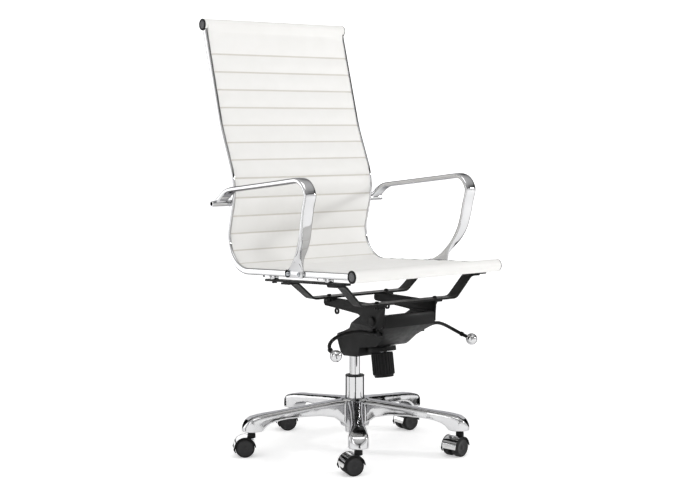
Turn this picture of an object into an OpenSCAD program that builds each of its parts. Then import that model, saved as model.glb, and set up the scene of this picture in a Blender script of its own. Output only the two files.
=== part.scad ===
// Swivel office chair: a ribbed sling between two bent side rails, on a
// tilt mechanism, a gas column and a five-leg cast base with twin-wheel casters.
// Origin: on the floor, on the axis of the column. +Z is up, the sitter
// faces -Y, and +X is the sitter's left.

/* [Side rails] */
// Distance between the centre planes of the two rails
rail_span = 462; // [380:1:560]
// Thickness of a rail across the chair
rail_t = 8; // [6:0.5:12]
// Depth of a rail, square to the leather
rail_d = 17; // [14:0.5:24]
// How far the front tube lies ahead of the column axis
seat_front = 293; // [270:1:320]
// Height of the front tube's axis
seat_front_h = 497.5; // [480:0.5:520]
// Fall of the seat from front to back, in degrees
seat_fall = 3; // [1:0.1:5]
// Where the seat line and the low back line would meet, behind the axis
heel_y = 284; // [265:1:300]
// Radius of the bend between seat and back
heel_r = 90; // [70:1:110]
// Distance of the lumbar corner behind the column axis
lumbar_y = 220.5; // [215:0.5:226]
// Height of the lumbar corner
lumbar_h = 695; // [680:1:710]
// Radius of the lumbar bend
lumbar_r = 155; // [120:1:180]
// Distance of the upper back corner behind the column axis
upper_y = 288.5; // [280:0.5:296]
// Height of the upper back corner
upper_h = 852; // [840:1:870]
// Radius of the upper back bend
upper_r = 400; // [300:1:500]
// Distance of the top tube behind the column axis
top_y = 367.5; // [355:0.5:380]
// Height of the top tube's axis
top_h = 1127; // [1080:1:1180]

/* [Rolls and sling] */
// Diameter of the front and top tubes
tube_d = 25; // [20:0.5:30]
// Thickness of the leather that is wrapped round a tube
wrap_t = 3.5; // [2:0.5:5]
// How far a tube's end stands out past the rail's outer face
tube_over = 0.5; // [0:0.5:6]
// Thickness of an end cap's head
cap_t = 3; // [2:0.5:5]
// Sling thickness in front of the rail's centre line
sling_front = 10; // [8:0.5:14]
// Sling thickness behind the rail's centre line
sling_back = 5; // [3:0.5:7]

/* [Arms] */
// Distance from a rail's centre plane to its armrest's centre plane
arm_away = 31; // [24:1:40]
// Width of an armrest
arm_w = 34; // [28:1:42]
// Thickness of an armrest
arm_t = 13; // [10:0.5:16]
// Height of the armrest's centre line at its front corner
arm_h = 722; // [700:1:740]
// Diameter of the tube that joins the arms behind the back
cross_d = 16; // [12:0.5:20]
// How far that tube stands out past the armrests' outer faces
cross_over = 9; // [4:1:16]
// Height of that tube
cross_h = 649; // [640:1:656]
// Thickness of the foot plate of an arm
foot_t = 5; // [4:0.5:7]

/* [Seat frame] */
// How far a side bar's centre line lies inside the rail's centre plane
bar_inset = 9; // [6:0.5:12]
// Width of the flat steel side bars
bar_w = 25; // [20:1:30]
// Thickness of the side bars and the cross straps
flat_t = 5; // [4:0.5:7]
// Gap between a rail and the bar below it
bar_drop = 9; // [7:0.5:12]
// Width of the cross straps
strap_w = 36; // [30:1:42]
// Height of the straps' flat middle, at its lower face
strap_h = 411; // [406:0.5:416]
// Length of the straps' flat middle
strap_flat = 306; // [280:1:320]
// Place of the rear strap on the Y axis
rear_strap_y = -14; // [-20:1:0]
// Place of the front strap on the Y axis
front_strap_y = -212; // [-216:1:-206]

/* [Tilt mechanism] */
// Distance between the outer faces of the two seat plates
plate_span = 172; // [164:1:184]
// Thickness of a seat plate
plate_t = 4; // [3:0.5:5]
// Distance of the tilt pivot ahead of the column axis
pivot_y = 181; // [176:1:186]
// Height of the tilt pivot
pivot_h = 366; // [362:0.5:370]
// Diameter of the pivot shaft
pivot_d = 16; // [12:0.5:18]
// Wall of the pressed housing
housing_wall = 3.5; // [2.5:0.5:5]
// Diameter of the tension knob at its top
knob_d = 58; // [50:1:62]
// Length of the tension knob
knob_len = 64; // [55:1:68]
// Diameter of a lever's rod
lever_d = 9; // [7:0.5:11]
// Diameter of the ball on a lever
ball_d = 30; // [24:1:34]

/* [Gas column] */
// Outer diameter of the column tube
column_d = 50; // [44:0.5:60]
// Wall of the column tube
column_wall = 2; // [1.5:0.5:3]
// Height of the column tube's top
column_top = 194; // [190:1:200]
// Diameter of the gas cylinder
cylinder_d = 28; // [26:0.5:30]
// Radial clearance of parts that turn or slide in each other
run_gap = 0.05; // [0.02:0.01:0.1]

/* [Base and casters] */
// Distance from the column axis to a caster's stem
caster_ring = 285; // [235:1:345]
// Height of the hub's top
hub_top = 136; // [130:1:142]
// Diameter of the hub
hub_d = 76; // [70:1:84]
// Height of the leg ends' lower rim
leg_rim = 65; // [63:0.5:68]
// Width of a leg's end
leg_end_w = 50; // [44:1:56]
// Diameter of a caster wheel
wheel_d = 50; // [41:0.5:56]
// Thickness of a caster wheel
wheel_t = 18; // [15:0.5:20]
// Distance from a caster's stem to its axle
trail = 18; // [14:0.5:20]
// Diameter of a caster's stem
stem_d = 11; // [10:0.5:12]
// Diameter of a caster's axle
axle_d = 6; // [5:0.5:8]

/* [Hidden] */
$fn = 64;

// ---- shared points and directions --------------------------------------

// Rail path in the side plane, as [y, z] corners with a bend radius each
heel_h = seat_front_h - (heel_y + seat_front) * tan(seat_fall);
path = [[-seat_front, seat_front_h], [heel_y, heel_h], [lumbar_y, lumbar_h],
        [upper_y, upper_h], [top_y, top_h]];
radii = [0, heel_r, lumbar_r, upper_r, 0];

function dir(a, b) = (b - a) / norm(b - a);
function cross2(a, b) = a[0] * b[1] - a[1] * b[0];
// Turn at corner i, positive to the left
function turn(i) = let(u = dir(path[i - 1], path[i]), v = dir(path[i], path[i + 1]))
    atan2(cross2(u, v), u * v);
function tangent_len(i) = (i == 0 || i == len(path) - 1) ? 0 : radii[i] * tan(abs(turn(i)) / 2);
function bend_in(i) = path[i] - dir(path[i - 1], path[i]) * tangent_len(i);
function bend_out(i) = path[i] + dir(path[i], path[i + 1]) * tangent_len(i);
function left_of(v) = [-v[1], v[0]];
function bend_centre(i) = bend_in(i) + left_of(dir(path[i - 1], path[i])) * radii[i] * sign(turn(i));

// Line beside the path at distance off, positive towards the sitter
bend_steps = 14;
function beside(off) = concat(
    [path[0] + left_of(dir(path[0], path[1])) * off],
    [for (i = [1 : len(path) - 2], s = [0 : bend_steps])
        let(c = bend_centre(i), v = bend_in(i) - c, a = turn(i) * s / bend_steps,
            w = [v[0] * cos(a) - v[1] * sin(a), v[0] * sin(a) + v[1] * cos(a)],
            r = radii[i] - off * sign(turn(i)))
        c + w * r / radii[i]],
    [path[len(path) - 1] + left_of(dir(path[3], path[4])) * off]);
function reversed(list) = [for (i = [len(list) - 1 : -1 : 0]) list[i]];

rail_x = rail_span / 2;
rail_out = rail_x + rail_t / 2;
rail_in = rail_x - rail_t / 2;
bar_x = rail_x - bar_inset;
arm_x = rail_x + arm_away;
cross_len = 2 * (arm_x + arm_w / 2 + cross_over);
tube_len = 2 * (rail_out + tube_over);
cap_span = tube_len + 2 * cap_t;
roll_r = tube_d / 2 + wrap_t;
// Height of the rail's centre line above the column axis
rail_z0 = seat_front_h - seat_front * tan(seat_fall);

// The cross tube lies against the back of the rails
low_back = dir(path[1], path[2]);
rail_back_y = heel_y + (cross_h - heel_h) * low_back[0] / low_back[1]
    + (rail_d / 2) / low_back[1];
cross_y = rail_back_y + cross_d / 2 - 3;

// Side plane: drawing x runs along world Y, drawing y along world Z
module side_plane(x = 0) { translate([x, 0, 0]) rotate([90, 0, 90]) children(); }
module side_slab(x0, x1) { side_plane(x0) linear_extrude(x1 - x0) children(); }
module on_both_sides() { children(); mirror([1, 0, 0]) children(); }
// Frame that falls with the seat; drawing origin on the rail line above the axis
module seat_slope() { translate([0, 0, rail_z0]) rotate([-seat_fall, 0, 0]) children(); }

// ---- side rails, tubes and sling ---------------------------------------

// Rail: a flat oval section carried along the path
section_steps = 6;
function oval(length, width) = let(half = (length - width) / 2)
    concat([for (s = [0 : section_steps]) let(a = -90 + 180 * s / section_steps)
               [half + width / 2 * cos(a), width / 2 * sin(a)]],
           [for (s = [0 : section_steps]) let(a = 90 + 180 * s / section_steps)
               [-half + width / 2 * cos(a), width / 2 * sin(a)]]);

module swept(rings) {
    n = len(rings[0]);
    m = len(rings);
    points = [for (ring = rings, p = ring) p];
    faces = concat(
        [[for (j = [0 : n - 1]) j]],
        [for (i = [0 : m - 2], j = [0 : n - 1])
            let(k = (j + 1) % n) [i * n + j, (i + 1) * n + j, (i + 1) * n + k, i * n + k]],
        [[for (j = [n - 1 : -1 : 0]) (m - 1) * n + j]]);
    polyhedron(points = points, faces = faces, convexity = 6);
}

module rail_line() {
    middle = beside(0);
    inner = beside(1);
    swept([for (i = [0 : len(middle) - 1]) let(n = inner[i] - middle[i])
        [for (p = oval(rail_d, rail_t)) [-p[1], middle[i][0] + n[0] * p[0], middle[i][1] + n[1] * p[0]]]]);
}

module across(y, z, d, length) {
    translate([-length / 2, y, z]) rotate([0, 90, 0]) cylinder(d = d, h = length);
}

screw_d = 6;
bolt_d = 8;
// Where the two screws of an arm's foot pass through the rail
foot_screw_y = [-82, -34];
function rail_z(y) = rail_z0 - y * tan(seat_fall);

module foot_screw_holes(d) {
    for (y = foot_screw_y) across(y, rail_z(y), d, 2 * arm_x);
}

module side_rail(side) {
    difference() {
        translate([side * rail_x, 0, 0]) rail_line();
        for (p = [path[0], path[4]]) across(p[0], p[1], tube_d, cap_span);
        across(cross_y, cross_h, cross_d, cross_len);
        intersection() {
            foot_screw_holes(screw_d);
            translate([side * rail_x, 0, 0]) cube([4 * rail_t, 1000, 2000], center = true);
        }
    }
}
module rail_left() { color("gainsboro") side_rail(1); }
module rail_right() { color("gainsboro") side_rail(-1); }

tube_wall = 1.5;
module roll_tube(p) {
    difference() {
        across(p[0], p[1], tube_d, tube_len);
        across(p[0], p[1], tube_d - 2 * tube_wall, tube_len + 2);
    }
}
module front_tube() { color("silver") roll_tube(path[0]); }
module top_tube() { color("silver") roll_tube(path[4]); }

// Four domed caps with a plug that fits in the tube
plug_len = 14;
module end_cap(p) {
    translate([tube_len / 2, p[0], p[1]]) rotate([0, 90, 0]) {
        cylinder(r1 = roll_r, r2 = roll_r - 1, h = cap_t);
        translate([0, 0, -plug_len]) cylinder(d = tube_d - 2 * tube_wall, h = plug_len);
    }
}
module end_caps() {
    color("dimgray") on_both_sides() for (p = [path[0], path[4]]) end_cap(p);
}

// One padded leather sling, wrapped round both tubes and held by the rails
sling_gap = 0.2;
module sling() {
    half = rail_in - sling_gap;
    color("white") difference() {
        union() {
            side_slab(-half, half) polygon(concat(beside(sling_front), reversed(beside(-sling_back))));
            for (p = [path[0], path[4]]) across(p[0], p[1], 2 * roll_r, tube_len);
        }
        for (p = [path[0], path[4]]) across(p[0], p[1], tube_d, cap_span);
        on_both_sides() translate([rail_x, 0, 0]) side_slab(-rail_t / 2 - sling_gap, rail_t / 2 + sling_gap)
            polygon(concat(beside(rail_d / 2 + sling_gap), reversed(beside(-rail_d / 2 - sling_gap))));
    }
}

// ---- armrests ----------------------------------------------------------

// Stations of an arm: [x, y, z, size across, size along the bend plane, pitch]
// pitch turns the section's short side from level (0) to upright (90)
arm_slope = 6.5;
arm_front_y = -112;
arm_back_y = 176;
arm_bend = 44;
foot_y = -60;
foot_x = rail_out + foot_t / 2;
function arm_top_z(y) = arm_h - (y - arm_front_y) * tan(arm_slope);
function arm_stations() = concat(
    // tail, down to the cross tube
    [[arm_x, cross_y - 4, cross_h + 4, arm_w, arm_t, 45]],
    [for (s = [0 : 6]) let(a = 42 - 36 * s / 6, r = 90)
        [arm_x, arm_back_y + r * (sin(a) - sin(arm_slope)),
         arm_top_z(arm_back_y) - r * (cos(arm_slope) - cos(a)), arm_w, arm_t, a]],
    // level stretch
    [for (s = [1 : 4]) let(y = arm_back_y + (arm_front_y - arm_back_y) * s / 4)
        [arm_x, y, arm_top_z(y), arm_w, arm_t, arm_slope]],
    // front corner, down to the leg
    [for (s = [1 : 9]) let(a = arm_slope - (arm_slope + 80) * s / 9)
        [arm_x, arm_front_y + arm_bend * (sin(a) - sin(arm_slope)),
         arm_h - arm_bend * (cos(arm_slope) - cos(a)), arm_w, arm_t, a]],
    // leg, turning into the upright foot
    [[arm_x, -150, 648, arm_w, arm_t, -77], [arm_x - 1, -142, 612, arm_w - 1, arm_t + 1, -74],
     [arm_x - 4, -131, 578, arm_w - 4, arm_t + 4, -70], [arm_x - 9, -113, 548, arm_w - 10, arm_t + 12, -64],
     [arm_x - 15, -89, 522, arm_w - 17, arm_t + 30, -62], [foot_x + 3, -70, 504, 11, 62, -75],
     [foot_x, foot_y - 4, 492, foot_t, 70, -88]]);

ring_sides = 20;
// Rounded section point n of a station
function arm_point(st, n) =
    let(a = 360 * n / ring_sides, e = 0.55,
        u = sign(cos(a)) * pow(abs(cos(a)), e) * st[3] / 2,
        v = sign(sin(a)) * pow(abs(sin(a)), e) * st[4] / 2)
    [st[0] + u, st[1] + v * sin(st[5]), st[2] + v * cos(st[5])];

module foot_plate() {
    z = rail_z(foot_y);
    translate([rail_out, foot_y, z]) rotate([-seat_fall, 0, 0])
        translate([0, -40, -10]) cube([foot_t, 80, 21]);
}

module arm_solid() {
    difference() {
        union() {
            swept([for (st = arm_stations()) [for (n = [0 : ring_sides - 1]) arm_point(st, n)]]);
            foot_plate();
        }
        across(cross_y, cross_h, cross_d, cross_len);
        intersection() {
            foot_screw_holes(screw_d);
            translate([rail_out, -500, 0]) cube([3 * foot_t, 1000, 1000]);
        }
    }
}
module arm_left() { color("gainsboro") arm_solid(); }
module arm_right() { color("gainsboro") mirror([1, 0, 0]) arm_solid(); }

module cross_tube() {
    color("gainsboro") difference() {
        across(cross_y, cross_h, cross_d, cross_len);
        across(cross_y, cross_h, cross_d - 4, cross_len + 2);
    }
}

head_h = 3.5;
module arm_screws() {
    color("silver") on_both_sides() for (y = foot_screw_y)
        translate([rail_in, y, rail_z(y)]) rotate([0, 90, 0]) difference() {
            union() {
                cylinder(d = screw_d, h = rail_t + foot_t);
                translate([0, 0, rail_t + foot_t]) cylinder(r1 = 6, r2 = 4, h = head_h);
            }
            translate([0, 0, rail_t + foot_t + 1]) cylinder(d = 4, h = head_h, $fn = 6);
        }
}

// ---- seat frame --------------------------------------------------------

bar_front = -262;
bar_back = 86;
bolt_y = [-184, 52];
bar_top = -rail_d / 2 - bar_drop;
bar_low = bar_top - flat_t;

module bar_holes(d) {
    for (y = bolt_y) translate([0, y, bar_low - 30]) cylinder(d = d, h = 60);
}

module side_bar(side) {
    seat_slope() translate([side * bar_x, 0, 0]) difference() {
        union() {
            translate([-bar_w / 2, bar_front + bar_w / 2, bar_low])
                cube([bar_w, bar_back - bar_front - bar_w, flat_t]);
            for (y = [bar_front + bar_w / 2, bar_back - bar_w / 2])
                translate([0, y, bar_low]) cylinder(d = bar_w, h = flat_t);
        }
        bar_holes(bolt_d);
    }
}
module side_bar_left() { color("black") side_bar(1); }
module side_bar_right() { color("black") side_bar(-1); }

// Welded tabs between the rails and the bars, saddled to the rail above
tab_len = 64;
module tab_saddle() {
    half = (rail_d - rail_t) / 2;
    translate([rail_x, bar_back, 0]) rotate([90, 0, 0]) linear_extrude(bar_back - bar_front) {
        square([rail_t, 2 * half], center = true);
        for (s = [-1, 1]) translate([0, s * half]) circle(d = rail_t);
    }
}
module rail_tabs() {
    color("gray") on_both_sides() seat_slope() difference() {
        for (y = bolt_y) {
            translate([bar_x, y, bar_top]) cylinder(d = 22, h = bar_drop + 1);
            translate([bar_x - 7, y, bar_top + bar_drop - 4]) cube([rail_out - bar_x + 7, tab_len / 2, 5]);
        }
        translate([bar_x, 0, 0]) bar_holes(bolt_d);
        tab_saddle();
    }
}

// A strap hangs between the bars: level ends, slanted arms, flat middle
module strap(y) {
    end_z = rail_z0 - y * tan(seat_fall) + bar_low / cos(seat_fall);
    end_in = bar_x - bar_w / 2 - 4;
    flat_x = strap_flat / 2;
    rise = end_z - (strap_h + flat_t);
    slant = atan2(rise, end_in - flat_x);
    miter = flat_t * tan(slant / 2);
    half = [[0, strap_h], [flat_x + miter, strap_h], [end_in + miter, end_z - flat_t],
            [bar_x + bar_w / 2, end_z - flat_t]];
    upper = [[bar_x + bar_w / 2, end_z], [end_in, end_z], [flat_x, strap_h + flat_t],
             [0, strap_h + flat_t]];
    difference() {
        on_both_sides() translate([0, y + strap_w / 2, 0]) rotate([90, 0, 0])
            linear_extrude(strap_w) polygon(concat(half, upper));
        // the ends follow the fall of the bars
        seat_slope() translate([-500, -500, bar_low]) cube([1000, 1000, 60]);
        strap_holes(bolt_d);
    }
}
strap_bolt_x = plate_span / 2 + 9;
module strap_holes(d) {
    for (x = [-strap_bolt_x, strap_bolt_x], y = [rear_strap_y, front_strap_y])
        translate([x, y, strap_h - 30]) cylinder(d = d, h = 60);
}
module rear_strap() { color("black") strap(rear_strap_y); }
module front_strap() { color("black") strap(front_strap_y); }

// Eight machine bolts: four hold the bars to the rail tabs, four hold the
// straps to the seat plates with a nut below
nut_h = 6;
module seat_bolts() {
    color("dimgray") {
        seat_slope() on_both_sides() for (y = bolt_y) translate([bar_x, y, bar_low]) {
            cylinder(d = bolt_d, h = flat_t + bar_drop - 5);
            translate([0, 0, -5]) cylinder(d = 13, h = 5);
        }
        for (x = [-strap_bolt_x, strap_bolt_x], y = [rear_strap_y, front_strap_y])
            translate([x, y, strap_h]) {
                translate([0, 0, -plate_t - nut_h]) cylinder(d = bolt_d, h = flat_t + plate_t + nut_h);
                translate([0, 0, flat_t]) cylinder(r1 = 6.5, r2 = 4.5, h = 4.5);
                translate([0, 0, -plate_t - nut_h]) cylinder(d = 14, h = nut_h, $fn = 6);
            }
    }
}

// ---- tilt mechanism ----------------------------------------------------

plate_out = plate_span / 2;
lug_y = -33;
lug_z = 377;
module plate_outline() {
    difference() {
        union() {
            polygon([[-230, strap_h], [-227, 384], [-226, 360], [-214, 351], [-140, 356],
                     [-131, 360], [-130, 366], [-134, 373], [-124, 379],
                     [-44, 384], [16, 387], [22, 392], [22, strap_h - 10], [8, strap_h]]);
            translate([lug_y, lug_z]) circle(r = 8.5);
            translate([lug_y - 4, lug_z]) square([8, 12]);
            translate([-pivot_y, pivot_h]) circle(r = pivot_d / 2 + 10);
        }
        translate([lug_y, lug_z]) circle(r = 4);
        translate([-pivot_y, pivot_h]) circle(d = pivot_d + 2 * run_gap);
    }
}

module seat_plate() {
    difference() {
        union() {
            side_slab(plate_out - plate_t, plate_out) plate_outline();
            for (y = [rear_strap_y, front_strap_y])
                translate([plate_out - 1, y - 17, strap_h - plate_t]) cube([21, 34, plate_t]);
        }
        strap_holes(bolt_d);
    }
}
module plate_left() { color("black") seat_plate(); }
module plate_right() { color("black") mirror([1, 0, 0]) seat_plate(); }

// Pressed housing: open on top, its mouth between the seat plates
plate_gap = 1;
housing_w = 2 * (plate_out - plate_t - plate_gap);
module housing_outline() {
    polygon([[-224, 384], [-227, 378], [-227, 353], [-188, 322], [-160, 300], [-150, 294],
             [-84, 284], [-76, 264], [-68, 258], [-12, 254], [0, 262], [12, 303],
             [6, 312], [-60, 334], [-104, 362], [-140, 382]]);
}
// Side view from the front: the belly is narrower than the mouth
module housing_front_outline() {
    w = housing_w / 2;
    polygon([[-w, 400], [-w, 352], [-54, 322], [-46, 250], [46, 250], [54, 322], [w, 352], [w, 400]]);
}
module front_slab(y0, y1) {
    translate([0, y1, 0]) rotate([90, 0, 0]) linear_extrude(y1 - y0) children();
}
knob_tilt = 9;
knob_y = -114;
knob_top = 271;
module knob_axis() { translate([0, knob_y, knob_top]) rotate([-knob_tilt, 0, 0]) children(); }
lever_y = -180;
lever_z = 337;
// Each lever turns on a pin held by two cheeks on the housing's side
lever_turn_x = housing_w / 2 - 11;
pin_d = 6;
pin_boss = 14;
cheek_gap = pin_boss + 1;
cheek_t = 5;
module lever_cheeks() {
    for (y = [lever_y - cheek_gap / 2 - cheek_t, lever_y + cheek_gap / 2])
        translate([lever_turn_x - 9, y, lever_z - 8]) cube([16, cheek_t, 16]);
}
module lever_slot() {
    translate([lever_turn_x - 15, lever_y - cheek_gap / 2, lever_z - 9]) cube([28, cheek_gap, 18]);
    translate([lever_turn_x, lever_y + 20, lever_z]) rotate([90, 0, 0])
        cylinder(d = pin_d + 2 * run_gap, h = 40);
}
cylinder_seat_low = 262;
cylinder_top = 316;
cylinder_r = cylinder_d / 2;

module housing_body() {
    intersection() {
        side_slab(-housing_w / 2, housing_w / 2) housing_outline();
        front_slab(-240, 30) housing_front_outline();
    }
}
module housing_hollow() {
    w = housing_wall;
    intersection() {
        translate([0, w, w]) housing_body();
        translate([0, -w, w + 0.01]) housing_body();
        translate([w, 0, w]) housing_body();
        translate([-w, 0, w]) housing_body();
    }
}

module tilt_housing() {
    color("black") difference() {
        union() {
            difference() {
                housing_body();
                housing_hollow();
                translate([0, 0, 2 * housing_wall]) housing_hollow();
                translate([0, 0, 6 * housing_wall]) housing_hollow();
            }
            // seat for the gas cylinder
            intersection() {
                translate([0, 0, cylinder_seat_low]) cylinder(r = cylinder_r + 8, h = 44);
                housing_body();
            }
            // collar round the tension spring
            knob_axis() translate([0, 0, 3]) cylinder(r = 38, h = 12);
            // bearing tube for the pivot shaft
            across(-pivot_y, pivot_h, pivot_d + 10, housing_w);
            on_both_sides() lever_cheeks();
        }
        translate([0, 0, 200]) cylinder(r = cylinder_r, h = 130);
        across(-pivot_y, pivot_h, pivot_d, housing_w + 2);
        on_both_sides() lever_slot();
        knob_axis() translate([0, 0, -5]) cylinder(d = 12 + 2 * run_gap, h = 60);
    }
}

module pivot_shaft() {
    reach = plate_out + 2;
    color("dimgray") {
        across(-pivot_y, pivot_h, pivot_d, 2 * reach);
        on_both_sides() translate([plate_out + 0.5, -pivot_y, pivot_h]) rotate([0, 90, 0])
            cylinder(r1 = pivot_d / 2 + 5, r2 = pivot_d / 2 + 3, h = 4);
    }
}

// Coil spring between the housing floor and the pressure plate
module tilt_spring() {
    color("gray") knob_axis() translate([0, 0, 24]) difference() {
        cylinder(r = 22, h = 42);
        translate([0, 0, -1]) cylinder(r = 13, h = 44);
    }
}

// Fluted knob on the end of the tension bolt
module tension_knob() {
    flutes = 24;
    color("black") knob_axis() difference() {
        translate([0, 0, -knob_len]) rotate_extrude() polygon([[0, 0], [knob_d / 2 - 4, 0],
            [knob_d / 2 - 4, 6], [knob_d / 2, 6], [knob_d / 2, knob_len - 1], [knob_d / 2 - 1, knob_len],
            [0, knob_len]]);
        for (i = [0 : flutes - 1]) rotate([0, 0, i * 360 / flutes])
            translate([knob_d / 2 + 1, 0, -knob_len + 6]) cylinder(r = 2, h = knob_len, $fn = 16);
        translate([0, 0, -knob_len + 12]) cylinder(d = 12, h = knob_len);
    }
}
module tension_bolt() {
    color("silver") knob_axis() translate([0, 0, -knob_len + 12])
        cylinder(d = 12, h = knob_len + 44);
}

// Bent rod of a lever, through the housing's side wall
ball_at = [223, -212.5, 297];
lever_in = housing_w / 2 - 22;
function bezier(p, t) = p[0] * pow(1 - t, 3) + 3 * p[1] * t * pow(1 - t, 2)
    + 3 * p[2] * t * t * (1 - t) + p[3] * pow(t, 3);
lever_bow = [[plate_out + 6, lever_y, lever_z], [144, lever_y + 2, lever_z + 20],
             [214, lever_y + 70, lever_z - 15], ball_at];
rod_steps = 14;
module lever_rod() {
    path3 = concat([[plate_out + 3, lever_y, lever_z]],
        [for (s = [0 : rod_steps - 1]) bezier(lever_bow, s / (rod_steps - 1) * 0.93)]);
    across_dir = [0, 0, 1];
    // the sides clear the round rod that they start on
    rod_r16 = lever_d / 2 / cos(180 / 16) + 0.03;
    rings = [for (i = [0 : rod_steps])
        let(t = i == 0 ? [1, 0, 0] : (path3[min(i + 1, rod_steps)] - path3[i - 1]),
            f = t / norm(t), u0 = cross(f, across_dir), u = u0 / norm(u0), w = cross(u, f))
        [for (n = [0 : 15]) path3[i] + (u * cos(n * 22.5) - w * sin(n * 22.5)) * rod_r16]];
    swept(rings);
    translate([lever_in, lever_y, lever_z]) rotate([0, 90, 0])
        cylinder(d = lever_d, h = plate_out + 6 - lever_in);
    translate([lever_turn_x, lever_y, lever_z]) rotate([90, 0, 0]) {
        cylinder(d = pin_boss, h = pin_boss - 1, center = true);
        cylinder(d = pin_d, h = cheek_gap + 2 * cheek_t + 2, center = true);
    }
}
module lever_ball() {
    translate(ball_at) sphere(d = ball_d);
}
module lever_rod_only() { difference() { lever_rod(); lever_ball(); } }
module height_lever() { color("black") mirror([1, 0, 0]) lever_rod_only(); }
module height_ball() { color("silver") mirror([1, 0, 0]) lever_ball(); }
module lock_lever() { color("black") lever_rod_only(); }
module lock_ball() { color("silver") lever_ball(); }

// ---- gas column --------------------------------------------------------

column_low = 44;
column_r = column_d / 2;
column_in = column_r - column_wall;
floor_t = 4;
rod_r = 5;
module column_tube() {
    color("silver") difference() {
        translate([0, 0, column_low]) cylinder(r = column_r, h = column_top - column_low);
        translate([0, 0, column_low + floor_t]) cylinder(r = column_in, h = column_top);
        translate([0, 0, column_low - 1]) cylinder(r = rod_r + 0.3, h = 20);
    }
}

bush_len = 50;
module guide_bush() {
    color("black") difference() {
        union() {
            translate([0, 0, column_top - bush_len]) cylinder(r = column_in, h = bush_len);
            translate([0, 0, column_top]) cylinder(r = column_r + 0.5, h = 3);
        }
        translate([0, 0, column_top - bush_len - 1]) cylinder(r = cylinder_r + run_gap, h = bush_len + 10);
    }
}

cylinder_low = 104;
bore_r = 11;
module gas_cylinder() {
    color("silver") difference() {
        translate([0, 0, cylinder_low]) cylinder(r = cylinder_r, h = cylinder_top - cylinder_low);
        translate([0, 0, cylinder_low + 10]) cylinder(r = bore_r, h = cylinder_top - cylinder_low - 26);
        translate([0, 0, cylinder_low - 1]) cylinder(r = rod_r + run_gap, h = 20);
        translate([0, 0, cylinder_top - 20]) cylinder(r = 4 + run_gap, h = 30);
    }
}

// Release pin on top of the gas cylinder
module valve_pin() {
    color("gold") translate([0, 0, cylinder_top - 12]) cylinder(r = 4, h = 18);
}

rod_shoulder = column_low + floor_t + 8.4;
module piston_rod() {
    color("silver") {
        translate([0, 0, column_low - 6]) cylinder(r = rod_r, h = 126);
        translate([0, 0, rod_shoulder]) cylinder(r = 8, h = 3);
        translate([0, 0, column_low + 110]) cylinder(r = bore_r - 0.3, h = 12);
    }
}
module thrust_bearing() {
    color("gray") translate([0, 0, column_low + floor_t + 0.4]) difference() {
        cylinder(r = 14, h = 8);
        translate([0, 0, -1]) cylinder(r = rod_r, h = 10);
    }
}
module retaining_clip() {
    color("gray") translate([0, 0, column_low - 3]) difference() {
        cylinder(r = 9, h = 2);
        translate([0, 0, -1]) cylinder(r = rod_r, h = 4);
    }
}

// ---- five-leg base -----------------------------------------------------

leg_angles = [-36, 36, -108, 108, 180];
hub_low = 62;
leg_tip = caster_ring + leg_end_w / 2;
// Stands drawing +X on the leg that lies at this angle from the front
module at_leg(a) { rotate([0, 0, a - 90]) children(); }

leg_root = hub_d / 2 - 8;
leg_w = leg_end_w / 2;
// Radius at a share of the way from the hub to the caster's stem
function along_leg(t) = leg_root + t * (caster_ring - leg_root);

// Side view of a leg, radius along x: arched below, domed at the end
module leg_side() {
    ring = caster_ring;
    polygon([[leg_root, hub_top - 3], [along_leg(0.12), hub_top - 5], [along_leg(0.27), hub_top - 9.5],
             [along_leg(0.47), hub_top - 15.5], [along_leg(0.65), hub_top - 21], [ring - 45, hub_top - 25.5],
             [ring - 17, hub_top - 29.5], [ring, hub_top - 33.5], [ring + 0.52 * leg_w, hub_top - 41],
             [ring + 0.84 * leg_w, hub_top - 52], [leg_tip, leg_rim + 6], [leg_tip, leg_rim],
             [ring - leg_w, leg_rim], [ring - 33, leg_rim + 11], [ring - 45, leg_rim + 19],
             [ring - 63, leg_rim + 24], [along_leg(0.51), leg_rim + 30], [along_leg(0.28), leg_rim + 30],
             [along_leg(0.16), leg_rim + 25], [along_leg(0.08), leg_rim + 13], [leg_root, leg_rim + 1]]);
}
// Plan of a leg: waisted between the hub and the round end
module leg_plan() {
    w = leg_w;
    ring = caster_ring;
    half = [[20, 26], [along_leg(0.12), 21], [along_leg(0.35), 18], [ring - 85, 18.5], [ring - 35, w - 3],
            [ring, w]];
    polygon(concat(half, [for (i = [len(half) - 1 : -1 : 0]) [half[i][0], -half[i][1]]]));
    translate([ring, 0]) circle(r = w);
}
module leg() {
    intersection() {
        translate([0, 60, 0]) rotate([90, 0, 0]) linear_extrude(120) leg_side();
        linear_extrude(200) leg_plan();
    }
}

socket_top = 96;
module star_base() {
    color("gainsboro") difference() {
        union() {
            translate([0, 0, hub_low]) cylinder(d = hub_d, h = hub_top - hub_low);
            for (a = leg_angles) at_leg(a) leg();
        }
        translate([0, 0, 0]) cylinder(r = column_r, h = 200);
        for (a = leg_angles) at_leg(a) translate([caster_ring, 0, leg_rim - 1])
            cylinder(r = stem_d / 2 + run_gap, h = socket_top - leg_rim + 1);
    }
}

// ---- casters -----------------------------------------------------------

// How far each caster has turned about its stem, in the order of leg_angles
caster_turns = [-108, -80, -120, -93, -115];
web_t = 11;
side_gap = 0.5;
wheel_r = wheel_d / 2;
hood_in = wheel_r + 1.2;
hood_out = hood_in + 2;
hood_w = web_t + 2 * (side_gap + wheel_t) + 1;
wheel_in = web_t / 2 + side_gap;
axle_len = web_t + 2 * wheel_t - 8;

module at_caster(n) {
    a = leg_angles[n];
    translate([caster_ring * sin(a), -caster_ring * cos(a), 0])
        rotate([0, 0, caster_turns[n] - 90]) children();
}
// Drawing in the wheel plane: x along the trail, y up, middle of the caster at z = 0
module wheel_plane() { translate([trail, 0, wheel_r]) rotate([90, 0, 0]) children(); }

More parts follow.
